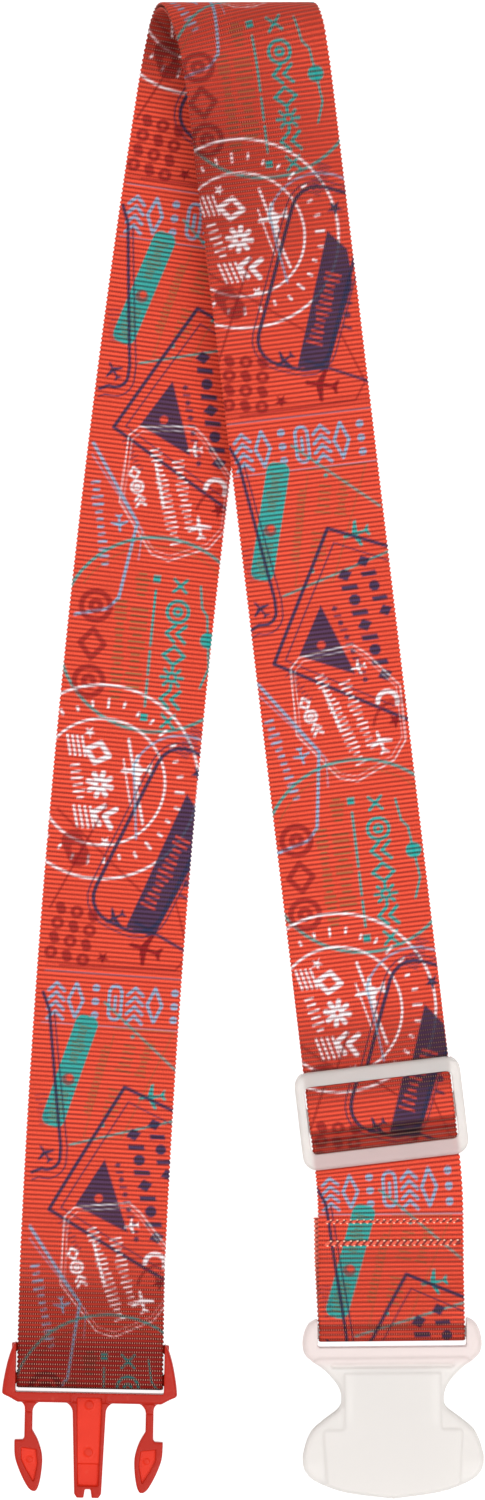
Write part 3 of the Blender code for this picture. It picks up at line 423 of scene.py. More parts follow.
def print_colours(down, across):
    """Ink colour of each point, for its distances in metres down the print and across the webbing."""
    a = np.mod(down * 1000 + 40, REPEAT) - 40
    v = across * 1000
    colours = np.tile(np.array(GROUND), (len(a), 1))
    order = np.argsort(a, kind="stable")
    ordered = a[order]
    for kind, ink, strength, width, points in marks:
        reach = width / 2 + SOFTNESS
        for shift in (0.0, REPEAT, -REPEAT):
            low, high = points[:, 0].min() + shift - reach, points[:, 0].max() + shift + reach
            first, last = np.searchsorted(ordered, (low, high))
            if first == last:
                continue
            near = order[first:last]
            near = near[(v[near] > points[:, 1].min() - reach) & (v[near] < points[:, 1].max() + reach)]
            px, py = a[near] - shift, v[near]
            inside = np.zeros(len(near), bool)
            gap = np.full(len(near), 9e9)
            ends = points if kind == "stroke" else np.vstack([points, points[:1]])
            for (x0, y0), (x1, y1) in zip(ends, ends[1:]):
                dx, dy = x1 - x0, y1 - y0
                share = np.clip(((px - x0) * dx + (py - y0) * dy) / (dx * dx + dy * dy + 1e-12), 0, 1)
                np.minimum(gap, (px - x0 - share * dx) ** 2 + (py - y0 - share * dy) ** 2, out=gap)
                if kind == "fill" and y0 != y1:
                    crosses = (py >= min(y0, y1)) & (py < max(y0, y1))
                    inside ^= crosses & (px < x0 + (py - y0) * dx / dy)
            gap = np.sqrt(gap) - width / 2
            gap = np.where(inside, -gap, gap)
            cover = np.clip(0.5 - gap / SOFTNESS, 0, 1)[:, None] * strength
            colours[near] += (np.array(ink) - colours[near]) * cover
    return colours


# ---- Webbing: the weave ----
# Plain-woven polyester: rounded crosswise ribs 1.57 mm apart, bound by fine lengthwise yarns, with a
# looped selvage at both edges. Where a bend opens the ribs, the pale core yarns show between them. Painted
# shade darkens the rib valleys, where the ink is also thinner, and the bends, the buckle loops and the
# shaded parts of the strands.
RIB = 0.00157
RIB_HEIGHT = 0.00014
YARN = 0.00080
BARE = (0.78, 0.20, 0.14)


def new_material(name):
    made = bpy.data.materials.new(name)
    made.use_nodes = True
    nodes = made.node_tree.nodes
    nodes.clear()
    output = nodes.new("ShaderNodeOutputMaterial")
    shader = nodes.new("ShaderNodeBsdfPrincipled")
    made.node_tree.links.new(shader.outputs[0], output.inputs["Surface"])
    return made, shader


def feed(tree, node, inputs):
    """Sets or links a node's inputs."""
    for key, value in dict(inputs).items():
        if isinstance(value, bpy.types.NodeSocket):
            tree.links.new(value, node.inputs[key])
        else:
            node.inputs[key].default_value = value


def add_node(owner, kind, inputs=(), **settings):
    """A node with its settings, and inputs given as {name or index: value or socket}."""
    tree = getattr(owner, "node_tree", owner)
    node = tree.nodes.new(kind)
    for key, value in settings.items():
        setattr(node, key, value)
    feed(tree, node, inputs)
    return node


def sums(owner, operation, *values):
    node = add_node(owner, "ShaderNodeMath", dict(enumerate(values)), operation=operation)
    return node.outputs[0]


def mixed(owner, share, a, b, blend="MIX"):
    node = add_node(owner, "ShaderNodeMix", {0: share, 6: a, 7: b}, data_type="RGBA", blend_type=blend)
    return node.outputs[2]


def wave(owner, value, pitch, phase=0.0):
    """A cosine from 0 to 1 with this pitch."""
    turn = sums(owner, "MULTIPLY_ADD", value, 2 * math.pi / pitch, phase)
    return sums(owner, "MULTIPLY_ADD", sums(owner, "COSINE", turn), 0.5, 0.5)


def stored(owner, name, output="Fac"):
    return add_node(owner, "ShaderNodeAttribute", attribute_name=name).outputs[output]


def noise(owner, place, scale, detail=2.0):
    values = {"Vector": place, "Scale": scale, "Detail": detail}
    return add_node(owner, "ShaderNodeTexNoise", values).outputs["Fac"]


def webbing_material():
    made, shader = new_material("printed_webbing")
    ink, gape_and_shade = stored(made, "ink", "Color"), stored(made, "gape_and_shade")
    along, across = stored(made, "along"), stored(made, "across")
    place = add_node(made, "ShaderNodeCombineXYZ", {0: across, 1: along}).outputs[0]
    patches = noise(made, place, 60.0)
    fibres = noise(made, place, 2400.0)
    rib = wave(made, along, RIB)
    yarn = wave(made, across, YARN)
    low = sums(made, "SUBTRACT", 1.0, rib)
    # Painted shade in the rib valleys, deeper in bends and shaded places; the ink is also thinner there.
    valley_shade = sums(made, "POWER", low, sums(made, "MULTIPLY_ADD", gape_and_shade, -0.8, 1.5))
    valley_shade = sums(made, "MULTIPLY", valley_shade, sums(made, "MULTIPLY_ADD", yarn, -0.3, 1.0))
    valley_shade = sums(made, "MULTIPLY", valley_shade, sums(made, "MULTIPLY_ADD", patches, 0.8, 0.55))
    colour = mixed(made, valley_shade, ink, mixed(made, 1.0, ink, (0.24, 0.06, 0.06, 1), "MULTIPLY"))
    # Painted shade over the bends, the buckle loops and the shaded parts of the strands; pale inks keep most
    # of their brightness.
    green = add_node(made, "ShaderNodeSeparateColor", {0: ink}).outputs[1]
    painted_shade = sums(made, "MULTIPLY", gape_and_shade, sums(made, "MULTIPLY_ADD", green, -0.8, 1.0))
    colour = mixed(made, painted_shade, colour, mixed(made, 1.0, colour, (0.22, 0.008, 0.014, 1), "MULTIPLY"))
    core = sums(made, "MULTIPLY", sums(made, "POWER", yarn, 7.0), sums(made, "POWER", low, 5.0))
    shown = sums(made, "MULTIPLY_ADD", patches, 0.5, sums(made, "MULTIPLY_ADD", gape_and_shade, 0.70, -0.25))
    core = sums(made, "MINIMUM", sums(made, "MAXIMUM", sums(made, "MULTIPLY", core, shown), 0.0), 0.85)
    colour = mixed(made, core, colour, (1.0, 0.52, 0.38, 1))
    tone = sums(made, "MULTIPLY_ADD", patches, 0.35, 0.82)
    tone = sums(made, "MULTIPLY", tone, sums(made, "MULTIPLY_ADD", fibres, 1.1, 0.48))
    grey = add_node(made, "ShaderNodeCombineColor", {0: tone, 1: tone, 2: tone}).outputs[0]
    colour = mixed(made, 1.0, colour, grey, "MULTIPLY")
    height = sums(made, "MULTIPLY_ADD", yarn, 0.35, rib)
    height = sums(made, "MULTIPLY_ADD", fibres, 0.25, height)
    bump = add_node(made, "ShaderNodeBump", {"Height": height, "Strength": 0.6, "Distance": 0.00016})
    look = {"Base Color": colour, "Normal": bump.outputs[0], "Roughness": 0.68, "Specular IOR Level": 0.12}
    feed(made.node_tree, shader, {**look, "Sheen Weight": 0.03, "Sheen Roughness": 0.4})
    return made


WEBBING = webbing_material()


def node_group(name, inputs):
    """An empty geometry tree with these named float inputs, and its two ends."""
    tree = bpy.data.node_groups.new(name, "GeometryNodeTree")
    tree.interface.new_socket("Geometry", in_out="INPUT", socket_type="NodeSocketGeometry")
    for label, value in inputs.items():
        socket = tree.interface.new_socket(label, in_out="INPUT", socket_type="NodeSocketFloat")
        socket.default_value = value
    tree.interface.new_socket("Geometry", in_out="OUTPUT", socket_type="NodeSocketGeometry")
    return tree, tree.nodes.new("NodeGroupInput"), tree.nodes.new("NodeGroupOutput")


def finish_tree(tree, geometry, end, look):
    real = add_node(tree, "GeometryNodeRealizeInstances", {0: geometry})
    paint = add_node(tree, "GeometryNodeSetMaterial", {0: real.outputs[0], "Material": look})
    tree.links.new(paint.outputs[0], end.inputs[0])


def apply_modifiers(obj):
    graph = bpy.context.evaluated_depsgraph_get()
    made = bpy.data.meshes.new_from_object(obj.evaluated_get(graph), depsgraph=graph)
    obj.modifiers.clear()
    obj.data = made
    return obj


def grow(obj, tree, values):
    """Runs a geometry tree on obj with these input values and keeps what it makes."""
    modifier = obj.modifiers.new(tree.name, "NODES")
    modifier.node_group = tree
    for item in tree.interface.items_tree:
        if item.in_out == "INPUT" and item.name in values:
            modifier[item.identifier] = float(values[item.name])
    return apply_modifiers(obj)


def weave_tree():
    """Lifts the ribs along the stored normals and draws the selvage in between them."""
    tree, start, end = node_group(
        "webbing_weave", {"Rib Pitch": RIB, "Rib Height": RIB_HEIGHT, "Selvage Notch": 0.00030}
    )

    def named(label, kind="FLOAT"):
        return add_node(tree, "GeometryNodeInputNamedAttribute", {"Name": label}, data_type=kind).outputs[0]

    def scaled(vector, size):
        values = {0: vector, "Scale": size}
        return add_node(tree, "ShaderNodeVectorMath", values, operation="SCALE").outputs[0]

    turn = sums(tree, "DIVIDE", named("along"), start.outputs["Rib Pitch"])
    rise = sums(tree, "COSINE", sums(tree, "MULTIPLY", turn, 2 * math.pi))
    lift = scaled(named("outward", "FLOAT_VECTOR"), sums(tree, "MULTIPLY", rise, start.outputs["Rib Height"]))
    notch = sums(tree, "MULTIPLY", rise, start.outputs["Selvage Notch"])
    notch = sums(tree, "MULTIPLY", notch, named("edge"))
    offset = add_node(
        tree, "ShaderNodeVectorMath", {0: lift, 1: scaled(named("sideways", "FLOAT_VECTOR"), notch)}
    )
    moved = add_node(
        tree, "GeometryNodeSetPosition", {"Geometry": start.outputs[0], "Offset": offset.outputs[0]}
    )
    finish_tree(tree, moved.outputs[0], end, WEBBING)
    return tree


WEAVE = weave_tree()


def store(mesh, name, kind, values):
    attribute = mesh.attributes.new(name, kind, "POINT")
    field = {"FLOAT": "value", "FLOAT_VECTOR": "vector", "FLOAT_COLOR": "color"}[kind]
    attribute.data.foreach_set(field, np.ascontiguousarray(values, np.float32).ravel())


def link(name, data):
    obj = bpy.data.objects.new(name, data)
    bpy.context.scene.collection.objects.link(obj)
    return obj


def weave_sheet(name, path, length, down, along_start, normal_side=True, columns=112, gape_and_shade=None):
    """A woven strip along a path, with its print on the side the path's normals point to, or the other.

    path(lengths, across) gives points and normals, down(lengths) the place and the shift on the print, and
    the last argument (lengths, across) from 0 to 1 how far a bend opens the ribs and how much painted shade
    darkens the webbing."""
    rows = max(4, 3 * int(round(length / RIB)))
    lengths = np.linspace(0, length, rows + 1)
    face = np.linspace(-WIDTH / 2, WIDTH / 2, columns)
    back = np.linspace(WIDTH / 2, -WIDTH / 2, 4)
    across = np.concatenate([face, back])
    side = np.where(np.arange(len(across)) < columns, 1, -1) * (1 if normal_side else -1)
    rim = np.clip((WIDTH / 2 - np.abs(across)) / 0.0006, 0, 1)
    thick = THICKNESS / 2 * (0.45 + 0.55 * np.sqrt(1 - (1 - rim) ** 2)) - RIB_HEIGHT
    middle, normals = path(lengths, across)
    points = middle + normals * (thick * side)[None, :, None]
    sideways = middle[:, columns - 1] - middle[:, 0]
    sideways /= np.linalg.norm(sideways, axis=1)[:, None]
    ring = len(across)
    index = np.arange((rows + 1) * ring).reshape(rows + 1, ring)
    following = np.roll(index, -1, axis=1)
    quads = np.stack([index[:-1], following[:-1], following[1:], index[1:]], -1).reshape(-1, 4)
    ends = [list(index[0][::-1]), list(index[-1])]
    if normal_side:
        quads = quads[:, ::-1]
        ends = [end[::-1] for end in ends]
    mesh = bpy.data.meshes.new(name)
    mesh.from_pydata(points.reshape(-1, 3).tolist(), [], quads.tolist() + ends)
    wide = np.repeat(across[None, :], rows + 1, 0)
    store(mesh, "along", "FLOAT", np.repeat(lengths[:, None] + along_start, ring, 1))
    store(mesh, "across", "FLOAT", wide)
    store(mesh, "edge", "FLOAT", np.repeat(((1 - rim) * np.sign(across))[None, :], rows + 1, 0))
    store(mesh, "outward", "FLOAT_VECTOR", normals * side[None, :, None])
    store(mesh, "sideways", "FLOAT_VECTOR", np.repeat(sideways[:, None, :], ring, 1))
    opened_and_shaded = gape_and_shade(lengths[:, None], across[None, :]) if gape_and_shade else 0.12
    store(mesh, "gape_and_shade", "FLOAT", opened_and_shaded + 0 * wide)
    ink = np.ones((wide.size, 4))
    ink[:, :3] = BARE
    printed = np.repeat((np.arange(ring) < columns)[None, :], rows + 1, 0).ravel()
    place, shift = down(lengths)
    place = np.repeat(place[:, None], ring, 1).ravel()
    beside = (wide + np.broadcast_to(shift, (rows + 1,))[:, None]).ravel()
    ink[printed, :3] = print_colours(place[printed], beside[printed])
    store(mesh, "ink", "FLOAT_COLOR", ink)
    obj = grow(link(name, mesh), WEAVE, {"Rib Height": RIB_HEIGHT})
    obj.data.shade_smooth()
    obj.data.set_sharp_from_angle(angle=math.radians(62))
    return obj


# ---- Webbing: the strands and the fold ----
# The two layers of each strand and the two of the fold, in one length with no seam between them. The
# front layers of both strands show their print upward, and the layers behind them downward.
LEFT_ZERO = length_at(run_at_left(0.1852))
RIGHT_ZERO = length_at(run_at_right(0.1052))
SLIDER_AT = length_at(SLIDER_RUN)
TAKEN_UP = 0.0144


def outer_print(lengths):
    """Place on the print of the layer outside the fold, down and across.

    The slider takes up some of its length, and the print wanders a little on the webbing."""
    hidden = np.clip((lengths - SLIDER_AT) / SLIDER_LENGTH + 0.5, 0, 1)
    down = lengths - RIGHT_ZERO
    wander = np.interp(down, (-0.07, -0.02, 0.10, 0.16, 0.20, 0.24), (-0.0033, 0, 0, 0.0007, 0.0007, -0.0007))
    return down + TAKEN_UP * hidden + wander, np.interp(down, (-0.07, -0.02), (0.0020, 0))


def inner_print(lengths):
    """The same for the layer inside the fold, which runs the other way along the print."""
    y = FOLD_Y + lengths - length_at(0.0)
    down = LEFT_ZERO - lengths - np.interp(y, (-0.15, -0.05), (0, 0.0025))
    return down, np.interp(y, (-0.05, 0.19), (-0.0027, -0.0010))


def hump(value, middle, reach):
    return np.exp(-(((value - middle) / reach) ** 2))


def strand_gape_and_shade(lengths, across):
    """How far the ribs open, and painted shade: over the fold, at the buckles, beside the slider and the hem,
    and on the right strand's left half below the fold.
    """
    crest = length_at(CREST)
    low = 0.70 * np.exp(-np.maximum(lengths - length_at(MALE_JOIN_RUN), 0) / 0.012)
    fold = 0.75 * hump(lengths, crest - 0.020, 0.014) + 0.30 * hump(lengths, crest + 0.012, 0.010)
    lean = np.clip(0.5 - across / WIDTH, 0, 1)
    # Painted shade on the right strand's left half, below the fold.
    right = (0.25 + 0.45 * lean) * hump(lengths, crest + 0.062, 0.046)
    slider = 0.45 * hump(lengths, SLIDER_AT - 0.022, 0.012)
    slider = slider + 0.35 * hump(lengths, length_at(HEM_END_RUN) + 0.006, 0.012)
    return np.clip(0.10 + low + fold + right + slider, 0, 1)


def strand(name, start, end, offset, place, columns=112):
    low, high = length_at(start), length_at(end)
    obj = weave_sheet(
        name + "_woven",
        lambda s, across: strand_path(s + low, across, offset),
        high - low,
        lambda s: place(s + low),
        low,
        offset > 0,
        columns,
        lambda s, across: strand_gape_and_shade(s + low, across),
    )
    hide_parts(name)
    return obj


FOLD_PIECE_REACH = 0.012
LEFT_END = -FOLD_PIECE_REACH
RIGHT_START = ARC_LENGTH + FOLD_PIECE_REACH
BACK_END = SLIDER_RUN - 0.052
HAIR = 0.00004
left_front = strand("webbing_left_front", MALE_JOIN_RUN, LEFT_END - HAIR, -HALF_PITCH, inner_print)
left_back = strand("webbing_left_back", MALE_JOIN_RUN, LEFT_END - HAIR, HALF_PITCH, outer_print, 64)
fold_outer = strand("webbing_fold_outer", LEFT_END, RIGHT_START, HALF_PITCH, outer_print)
fold_inner = strand("webbing_fold_inner", LEFT_END, RIGHT_START, -HALF_PITCH, inner_print)
right_front = strand("webbing_right_front", RIGHT_START + HAIR, HEM_END_RUN, HALF_PITCH, outer_print)
right_back = strand("webbing_right_back", RIGHT_START + HAIR, BACK_END - HAIR, -HALF_PITCH, inner_print, 64)
for piece in (left_front, left_back):
    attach(piece, "left_strand")
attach(right_front, "right_strand")
for piece in (fold_outer, fold_inner):
    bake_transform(piece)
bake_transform(right_back)

# ---- Webbing round the male buckle ----
# The left strand's front layer turns round the buckle's two bars and comes back as the layer behind it.
# It has no seam of its own: the bars grip it, and it bends just above them.
MALE_FRAME = Matrix.Translation(MALE_BAR) @ Matrix.Rotation(-math.atan(MALE_TILT), 4, "Z")
BAR_RADIUS = 0.00115
LOOP_RADIUS = BAR_RADIUS + LAYER_GAP + THICKNESS / 2
FLEX_START = 0.0135


def ease(start, end, count, start_slope=0.0, end_slope=0.0):
    """Points of a smooth step from one (y, z) to another with given slopes at its ends."""
    (y0, z0), (y1, z1) = start, end
    t = np.linspace(0, 1, count + 1)
    rise = (2 * t**3 - 3 * t**2 + 1) * z0 + (3 * t**2 - 2 * t**3) * z1
    turn = (t**3 - 2 * t**2 + t) * start_slope + (t**3 - t**2) * end_slope
    return list(zip(y0 + (y1 - y0) * t, rise + turn * (y1 - y0)))


def arc(centre_y, centre_z, radius, start, end, count=24):
    turns = np.radians(np.linspace(start, end, count + 1))
    return [(centre_y + radius * math.cos(t), centre_z + radius * math.sin(t)) for t in turns]


male_profile = (
    ease((MALE_JOIN, LEFT_Z + HALF_PITCH - MALE_BAR.z), (FLEX_START, LOOP_RADIUS), 30)[:-1]
    + ease((FLEX_START, LOOP_RADIUS), (-0.00075, LOOP_RADIUS), 8)[:-1]
    + arc(-0.00075, 0, LOOP_RADIUS, 90, 270)
    + ease((-0.00075, -LOOP_RADIUS), (FLEX_START, -LOOP_RADIUS), 8)[1:]
    + ease((FLEX_START, -LOOP_RADIUS), (MALE_JOIN, LEFT_Z - HALF_PITCH - MALE_BAR.z), 30)[1:]
)
male_path, male_length = profile_path(male_profile, MALE_FRAME)
male_low = length_at(MALE_JOIN_RUN)
male_loop = weave_sheet(
    "webbing_male_loop_woven",
    male_path,
    male_length,
    lambda s: inner_print(male_low - s),
    -male_low,
    False,
    112,
    # Painted shade: the whole loop is darkened, more towards and round the bars, and its core yarns show.
    lambda s, across: np.clip(0.75 + 0.35 * np.clip((s - 0.010) / 0.012, 0, 1), 0, 1),
)
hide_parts("webbing_male_loop")
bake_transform(male_loop)

# ---- Webbing round the female buckle, and its hem ----
# Below the slider the webbing turns round the female buckle's bar. Its end is folded under and sewn
# through the layer above, a little to the left of it.
FEMALE_FRAME = Matrix.Translation(FEMALE_BAR) @ Matrix.Rotation(math.atan(FEMALE_TILT), 4, "Z")
FEMALE_BAR_RADIUS = 0.0017
FEMALE_RADIUS = FEMALE_BAR_RADIUS + LAYER_GAP + THICKNESS / 2
TAIL_DRIFT = 0.0013
HEM_TOP = HEM_LENGTH - HALF_PITCH
join_y = HEM_END_Y - FEMALE_BAR.y - 0.00004
slope = math.tan(SLOPE)
join_z = ARC_END_Y - FEMALE_BAR.y - join_y
join_z = LEFT_Z + FOLD_RADIUS * (1 + math.cos(SLOPE)) - join_z * slope
join_z = join_z + HALF_PITCH / math.cos(SLOPE) - FEMALE_BAR.z
female_profile = (
    ease((join_y, join_z), (0.004, FEMALE_RADIUS), 30, slope, 0)[:-1]
    + ease((0.004, FEMALE_RADIUS), (0, FEMALE_RADIUS), 4)[:-1]
    + arc(0, 0, FEMALE_RADIUS, 90, 270)
    + ease((0, -FEMALE_RADIUS), (0.004, -FEMALE_RADIUS), 4)[1:]
    + ease((0.004, -FEMALE_RADIUS), (join_y, join_z - PITCH), 30, 0, slope)[1:]
)


def tail_shift(share):
    return -TAIL_DRIFT * max(0.0, 2 * share - 1)


female_path, female_length = profile_path(female_profile, FEMALE_FRAME, tail_shift)
female_low = length_at(HEM_END_RUN)
female_loop = weave_sheet(
    "webbing_female_loop_woven",
    female_path,
    female_length,
    lambda s: outer_print(female_low + s),
    female_low,
    False,
    112,
    # Painted shade: the webbing is darkened where it comes down onto the bar and turns round it.
    lambda s, across: 0.22 + 0.5 * hump(s, join_y - 0.001, 0.0016) + 0.35 * hump(s, join_y + 0.006, 0.006),
)
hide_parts("webbing_female_loop")
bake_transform(female_loop)
HEM_FRAME = strand_frame(HEM_END_RUN, FEMALE_TILT)
hem_profile = (
    ease((0, -PITCH), (HEM_TOP, -PITCH), 6)[:-1]
    + arc(HEM_TOP, -1.5 * PITCH, HALF_PITCH, 90, -90)
    + ease((HEM_TOP, -2 * PITCH), (0, -2 * PITCH), 6)[1:]
)
hem_path, hem_length = profile_path(hem_profile, HEM_FRAME, lambda share: -TAIL_DRIFT)
hem = weave_sheet(
    "webbing_end_hem_woven",
    hem_path,
    hem_length,
    lambda s: outer_print(female_low + female_length + s),
    0.0,
    False,
    64,
)
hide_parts("webbing_end_hem")
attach(hem, "right_strand")

# ---- Webbing in the slider ----
# The strap's other end is sewn round the slider's centre bar. The front layer passes over the bar,
# where it bulges in the window: a long rise, a sharp double crease, and a short flat below it.
SLIDER_TOP_Y = SLIDER_LENGTH / 2 - 0.0050
SLIDER_LOW_Y = -SLIDER_LENGTH / 2 + 0.0056
BAR_WIDTH = 0.008
BAR_MIDDLE = -0.0034
TAIL_END = BAR_WIDTH / 2 + 0.048
SLIDER_FRAME = strand_frame(SLIDER_RUN, RIGHT_TILT)
tail_profile = (
    ease((TAIL_END, -PITCH), (0.021, -PITCH), 8)[:-1]
    + ease((0.021, -PITCH), (-0.003, BAR_MIDDLE + 0.0019), 12)[:-1]
    + arc(-0.003, BAR_MIDDLE, 0.0019, 90, 270)
    + ease((-0.003, BAR_MIDDLE - 0.0019), (0.004, BAR_MIDDLE - 0.0019), 4)[1:]
    + ease((0.004, BAR_MIDDLE - 0.0019), (0.021, -2 * PITCH), 12)[1:]
    + ease((0.021, -2 * PITCH), (TAIL_END - 0.001, -2 * PITCH), 8)[1:]
)
tail_path, tail_length = profile_path(tail_profile, SLIDER_FRAME)
tail_low = length_at(BACK_END)
tail_loop = weave_sheet(
    "webbing_slider_loop_woven",
    tail_path,
    tail_length,
    lambda s: inner_print(tail_low + s),
    tail_low,
    True,
    64,
)
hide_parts("webbing_slider_loop")
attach(tail_loop, "slider")
arch_profile = (
    ease((SLIDER_TOP_Y - 0.0003, 0.00140), (0.0025, 0.00245), 14)[:-1]
    + ease((0.0025, 0.00245), (-0.0030, 0.00225), 10)[:-1]
    + ease((-0.0030, 0.00225), (-0.0044, 0.00150), 6, 0.25, 0)[:-1]
    + ease((-0.0044, 0.00150), (-0.0056, 0.00185), 6)[:-1]
    + ease((-0.0056, 0.00185), (-0.0066, 0.00140), 6)[:-1]
    + ease((-0.0066, 0.00140), (SLIDER_LOW_Y + 0.0003, 0.00132), 10)
)
arch_path, arch_length = profile_path(arch_profile, SLIDER_FRAME)
arch_low = SLIDER_AT - SLIDER_TOP_Y
arch = weave_sheet(
    "webbing_slider_arch_woven",
    arch_path,
    arch_length,
    lambda s: (outer_print(arch_low)[0] + 0.004 + s, 0.0),
    arch_low,
    False,
    112,
    # Painted shade: the webbing is darkened a little at the top of the window, strongly along the double
    # crease and over the short flat below it.
    lambda s, across: np.clip(
        0.20
        + 0.45 * hump(s, 0.001, 0.004)
        + 0.9 * hump(s, 0.0166, 0.0011)
        + 0.9 * hump(s, 0.0190, 0.0008)
        + 0.6 * (s > 0.0192),
        0,
        1,
    ),
)
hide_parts("webbing_slider_arch")
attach(arch, "slider")

# ---- Seams ----
# Two rows of lockstitch close the hem and two more hold the end in the slider: polyester thread in
# slanted stitches, with a pale fleck where each one dives into the webbing. Between the stitches sit dark
# balls of painted shadow, and the thread carries painted highlight and shade along its twist.
STITCH_PITCH = 0.0023


def thread_material():
    made, shader = new_material("sewing_thread")
    place = add_node(made, "ShaderNodeTexCoord").outputs["Object"]
    parts = add_node(made, "ShaderNodeSeparateXYZ", {0: place}).outputs
    twist_and_highlight = wave(made, sums(made, "ADD", parts[0], parts[1]), 0.0003)
    # Painted highlight and shade: the thread's colour runs from dark to bright along its twist.
    colour = mixed(made, twist_and_highlight, (0.55, 0.030, 0.018, 1), (1.0, 0.16, 0.075, 1))
    # Painted shadow: where the stored mark is below zero the thread turns near black.
    painted_shadow = sums(made, "MAXIMUM", sums(made, "MULTIPLY", stored(made, "shadow_and_fleck"), -1.0), 0.0)
    colour = mixed(made, painted_shadow, colour, (0.20, 0.008, 0.006, 1))
    pale = sums(made, "MAXIMUM", stored(made, "shadow_and_fleck"), 0.0)
    colour = mixed(made, pale, colour, (1.0, 0.66, 0.48, 1))
    bump = add_node(made, "ShaderNodeBump", {"Height": twist_and_highlight, "Strength": 0.5, "Distance": 0.0001})
    look = {"Base Color": colour, "Normal": bump.outputs[0], "Roughness": 0.5, "Sheen Weight": 0.1}
    feed(made.node_tree, shader, look)
    return made


def stitch_tree():
    """A row of slanted stitches along X, each with a pale fleck beside its end, and dark balls of painted
    shadow between them.
    """
    tree, start, end = node_group(
        "stitch_row",
        {
            "Count": 20,
            "Pitch": STITCH_PITCH,
            "Length": 0.0021,
            "Width": 0.0009,
            "Height": 0.0005,
            "Slant": -0.45,
            "Fleck": 0.0004,
        },
    )
    given = start.outputs
    span = sums(tree, "MULTIPLY", given["Pitch"], sums(tree, "SUBTRACT", given["Count"], 1.0))
    first = add_node(tree, "ShaderNodeCombineXYZ", {0: sums(tree, "MULTIPLY", span, -0.5)}).outputs[0]
    step = add_node(tree, "ShaderNodeCombineXYZ", {0: given["Pitch"]}).outputs[0]
    line = add_node(
        tree, "GeometryNodeMeshLine", {"Count": given["Count"], "Start Location": first, "Offset": step}
    ).outputs[0]
    ball = add_node(tree, "GeometryNodeMeshUVSphere", {"Segments": 12, "Rings": 8, "Radius": 0.5}).outputs[0]
    sway = add_node(
        tree, "FunctionNodeRandomValue", {2: -0.16, 3: 0.16, "Seed": 4}, data_type="FLOAT"
    ).outputs[1]
    lean = add_node(tree, "ShaderNodeCombineXYZ", {2: sums(tree, "ADD", given["Slant"], sway)}).outputs[0]
    size = add_node(
        tree, "ShaderNodeCombineXYZ", {0: given["Length"], 1: given["Width"], 2: given["Height"]}
    ).outputs[0]
    joined = tree.nodes.new("GeometryNodeJoinGeometry")

    def scatter(look, shift, scale, turn=(0, 0, 0)):
        """The ball at every point of the line, moved by shift, with its look from -1 for painted shadow to 1
        for a pale fleck.
        """
        marked = add_node(
            tree, "GeometryNodeStoreNamedAttribute", {"Geometry": ball, "Name": "shadow_and_fleck", "Value": look}
        )
        offset = add_node(tree, "ShaderNodeCombineXYZ", dict(enumerate(shift)))
        moved = add_node(tree, "GeometryNodeSetPosition", {"Geometry": line, "Offset": offset.outputs[0]})
        values = {"Points": moved.outputs[0], "Instance": marked.outputs[0], "Rotation": turn, "Scale": scale}
        made = add_node(tree, "GeometryNodeInstanceOnPoints", values)
        tree.links.new(made.outputs[0], joined.inputs[0])

    half = sums(tree, "MULTIPLY", given["Pitch"], 0.5)
    beside = sums(tree, "MULTIPLY", given["Width"], 0.62)
    across = sums(tree, "MULTIPLY", beside, -1.0)
    stretched = sums(tree, "MULTIPLY", given["Fleck"], 1.4)
    small = add_node(
        tree, "ShaderNodeCombineXYZ", {0: stretched, 1: given["Fleck"], 2: given["Height"]}
    ).outputs[0]
    scatter(0.0, (0.0, 0.0, 0.0), size, lean)
    # Painted shadow: dark balls sunk just below the stitches, halfway between them.
    scatter(-1.0, (half, 0.0, -0.0001), size, lean)
    scatter(1.0, (half, beside, 0.0), small)
    scatter(1.0, (0.0, across, 0.0), small)
    finish_tree(tree, joined.outputs[0], end, THREAD)
    return tree


THREAD = thread_material()
STITCHES = stitch_tree()


def seam(name, body, y, z, place, values):
    row = grow(link(name + "_stitches", bpy.data.meshes.new(name)), STITCHES, values)
    row.data.transform(place @ Matrix.Translation((0, y, z)))
    row.data.shade_smooth()
    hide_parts(name)
    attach(row, body)


FINE = {"Length": 0.0020, "Width": 0.00095, "Height": 0.0007, "Slant": 0.35, "Fleck": 0.00050}
BOLD = {"Length": 0.0026, "Width": 0.00130, "Height": 0.0010, "Slant": 0.60, "Fleck": 0.00060}
FACE = THICKNESS / 2 + 0.0001
seam("female_seam_upper", "right_strand", HEM_LENGTH - 0.0010, FACE, HEM_FRAME, FINE)
seam("female_seam_lower", "right_strand", HEM_LENGTH - 0.0085, FACE, HEM_FRAME, BOLD)
UNDER = -2 * PITCH - FACE
seam("slider_seam_upper", "slider", TAIL_END - 0.006, UNDER, SLIDER_FRAME, BOLD)
seam("slider_seam_lower", "slider", TAIL_END - 0.014, UNDER, SLIDER_FRAME, BOLD)

# ---- Slider ----
# One moulding of frosted, translucent plastic: a rounded frame, broad bars at its top and bottom in
# front of the webbing, and a flat centre bar behind it.
SLOT = 0.0512


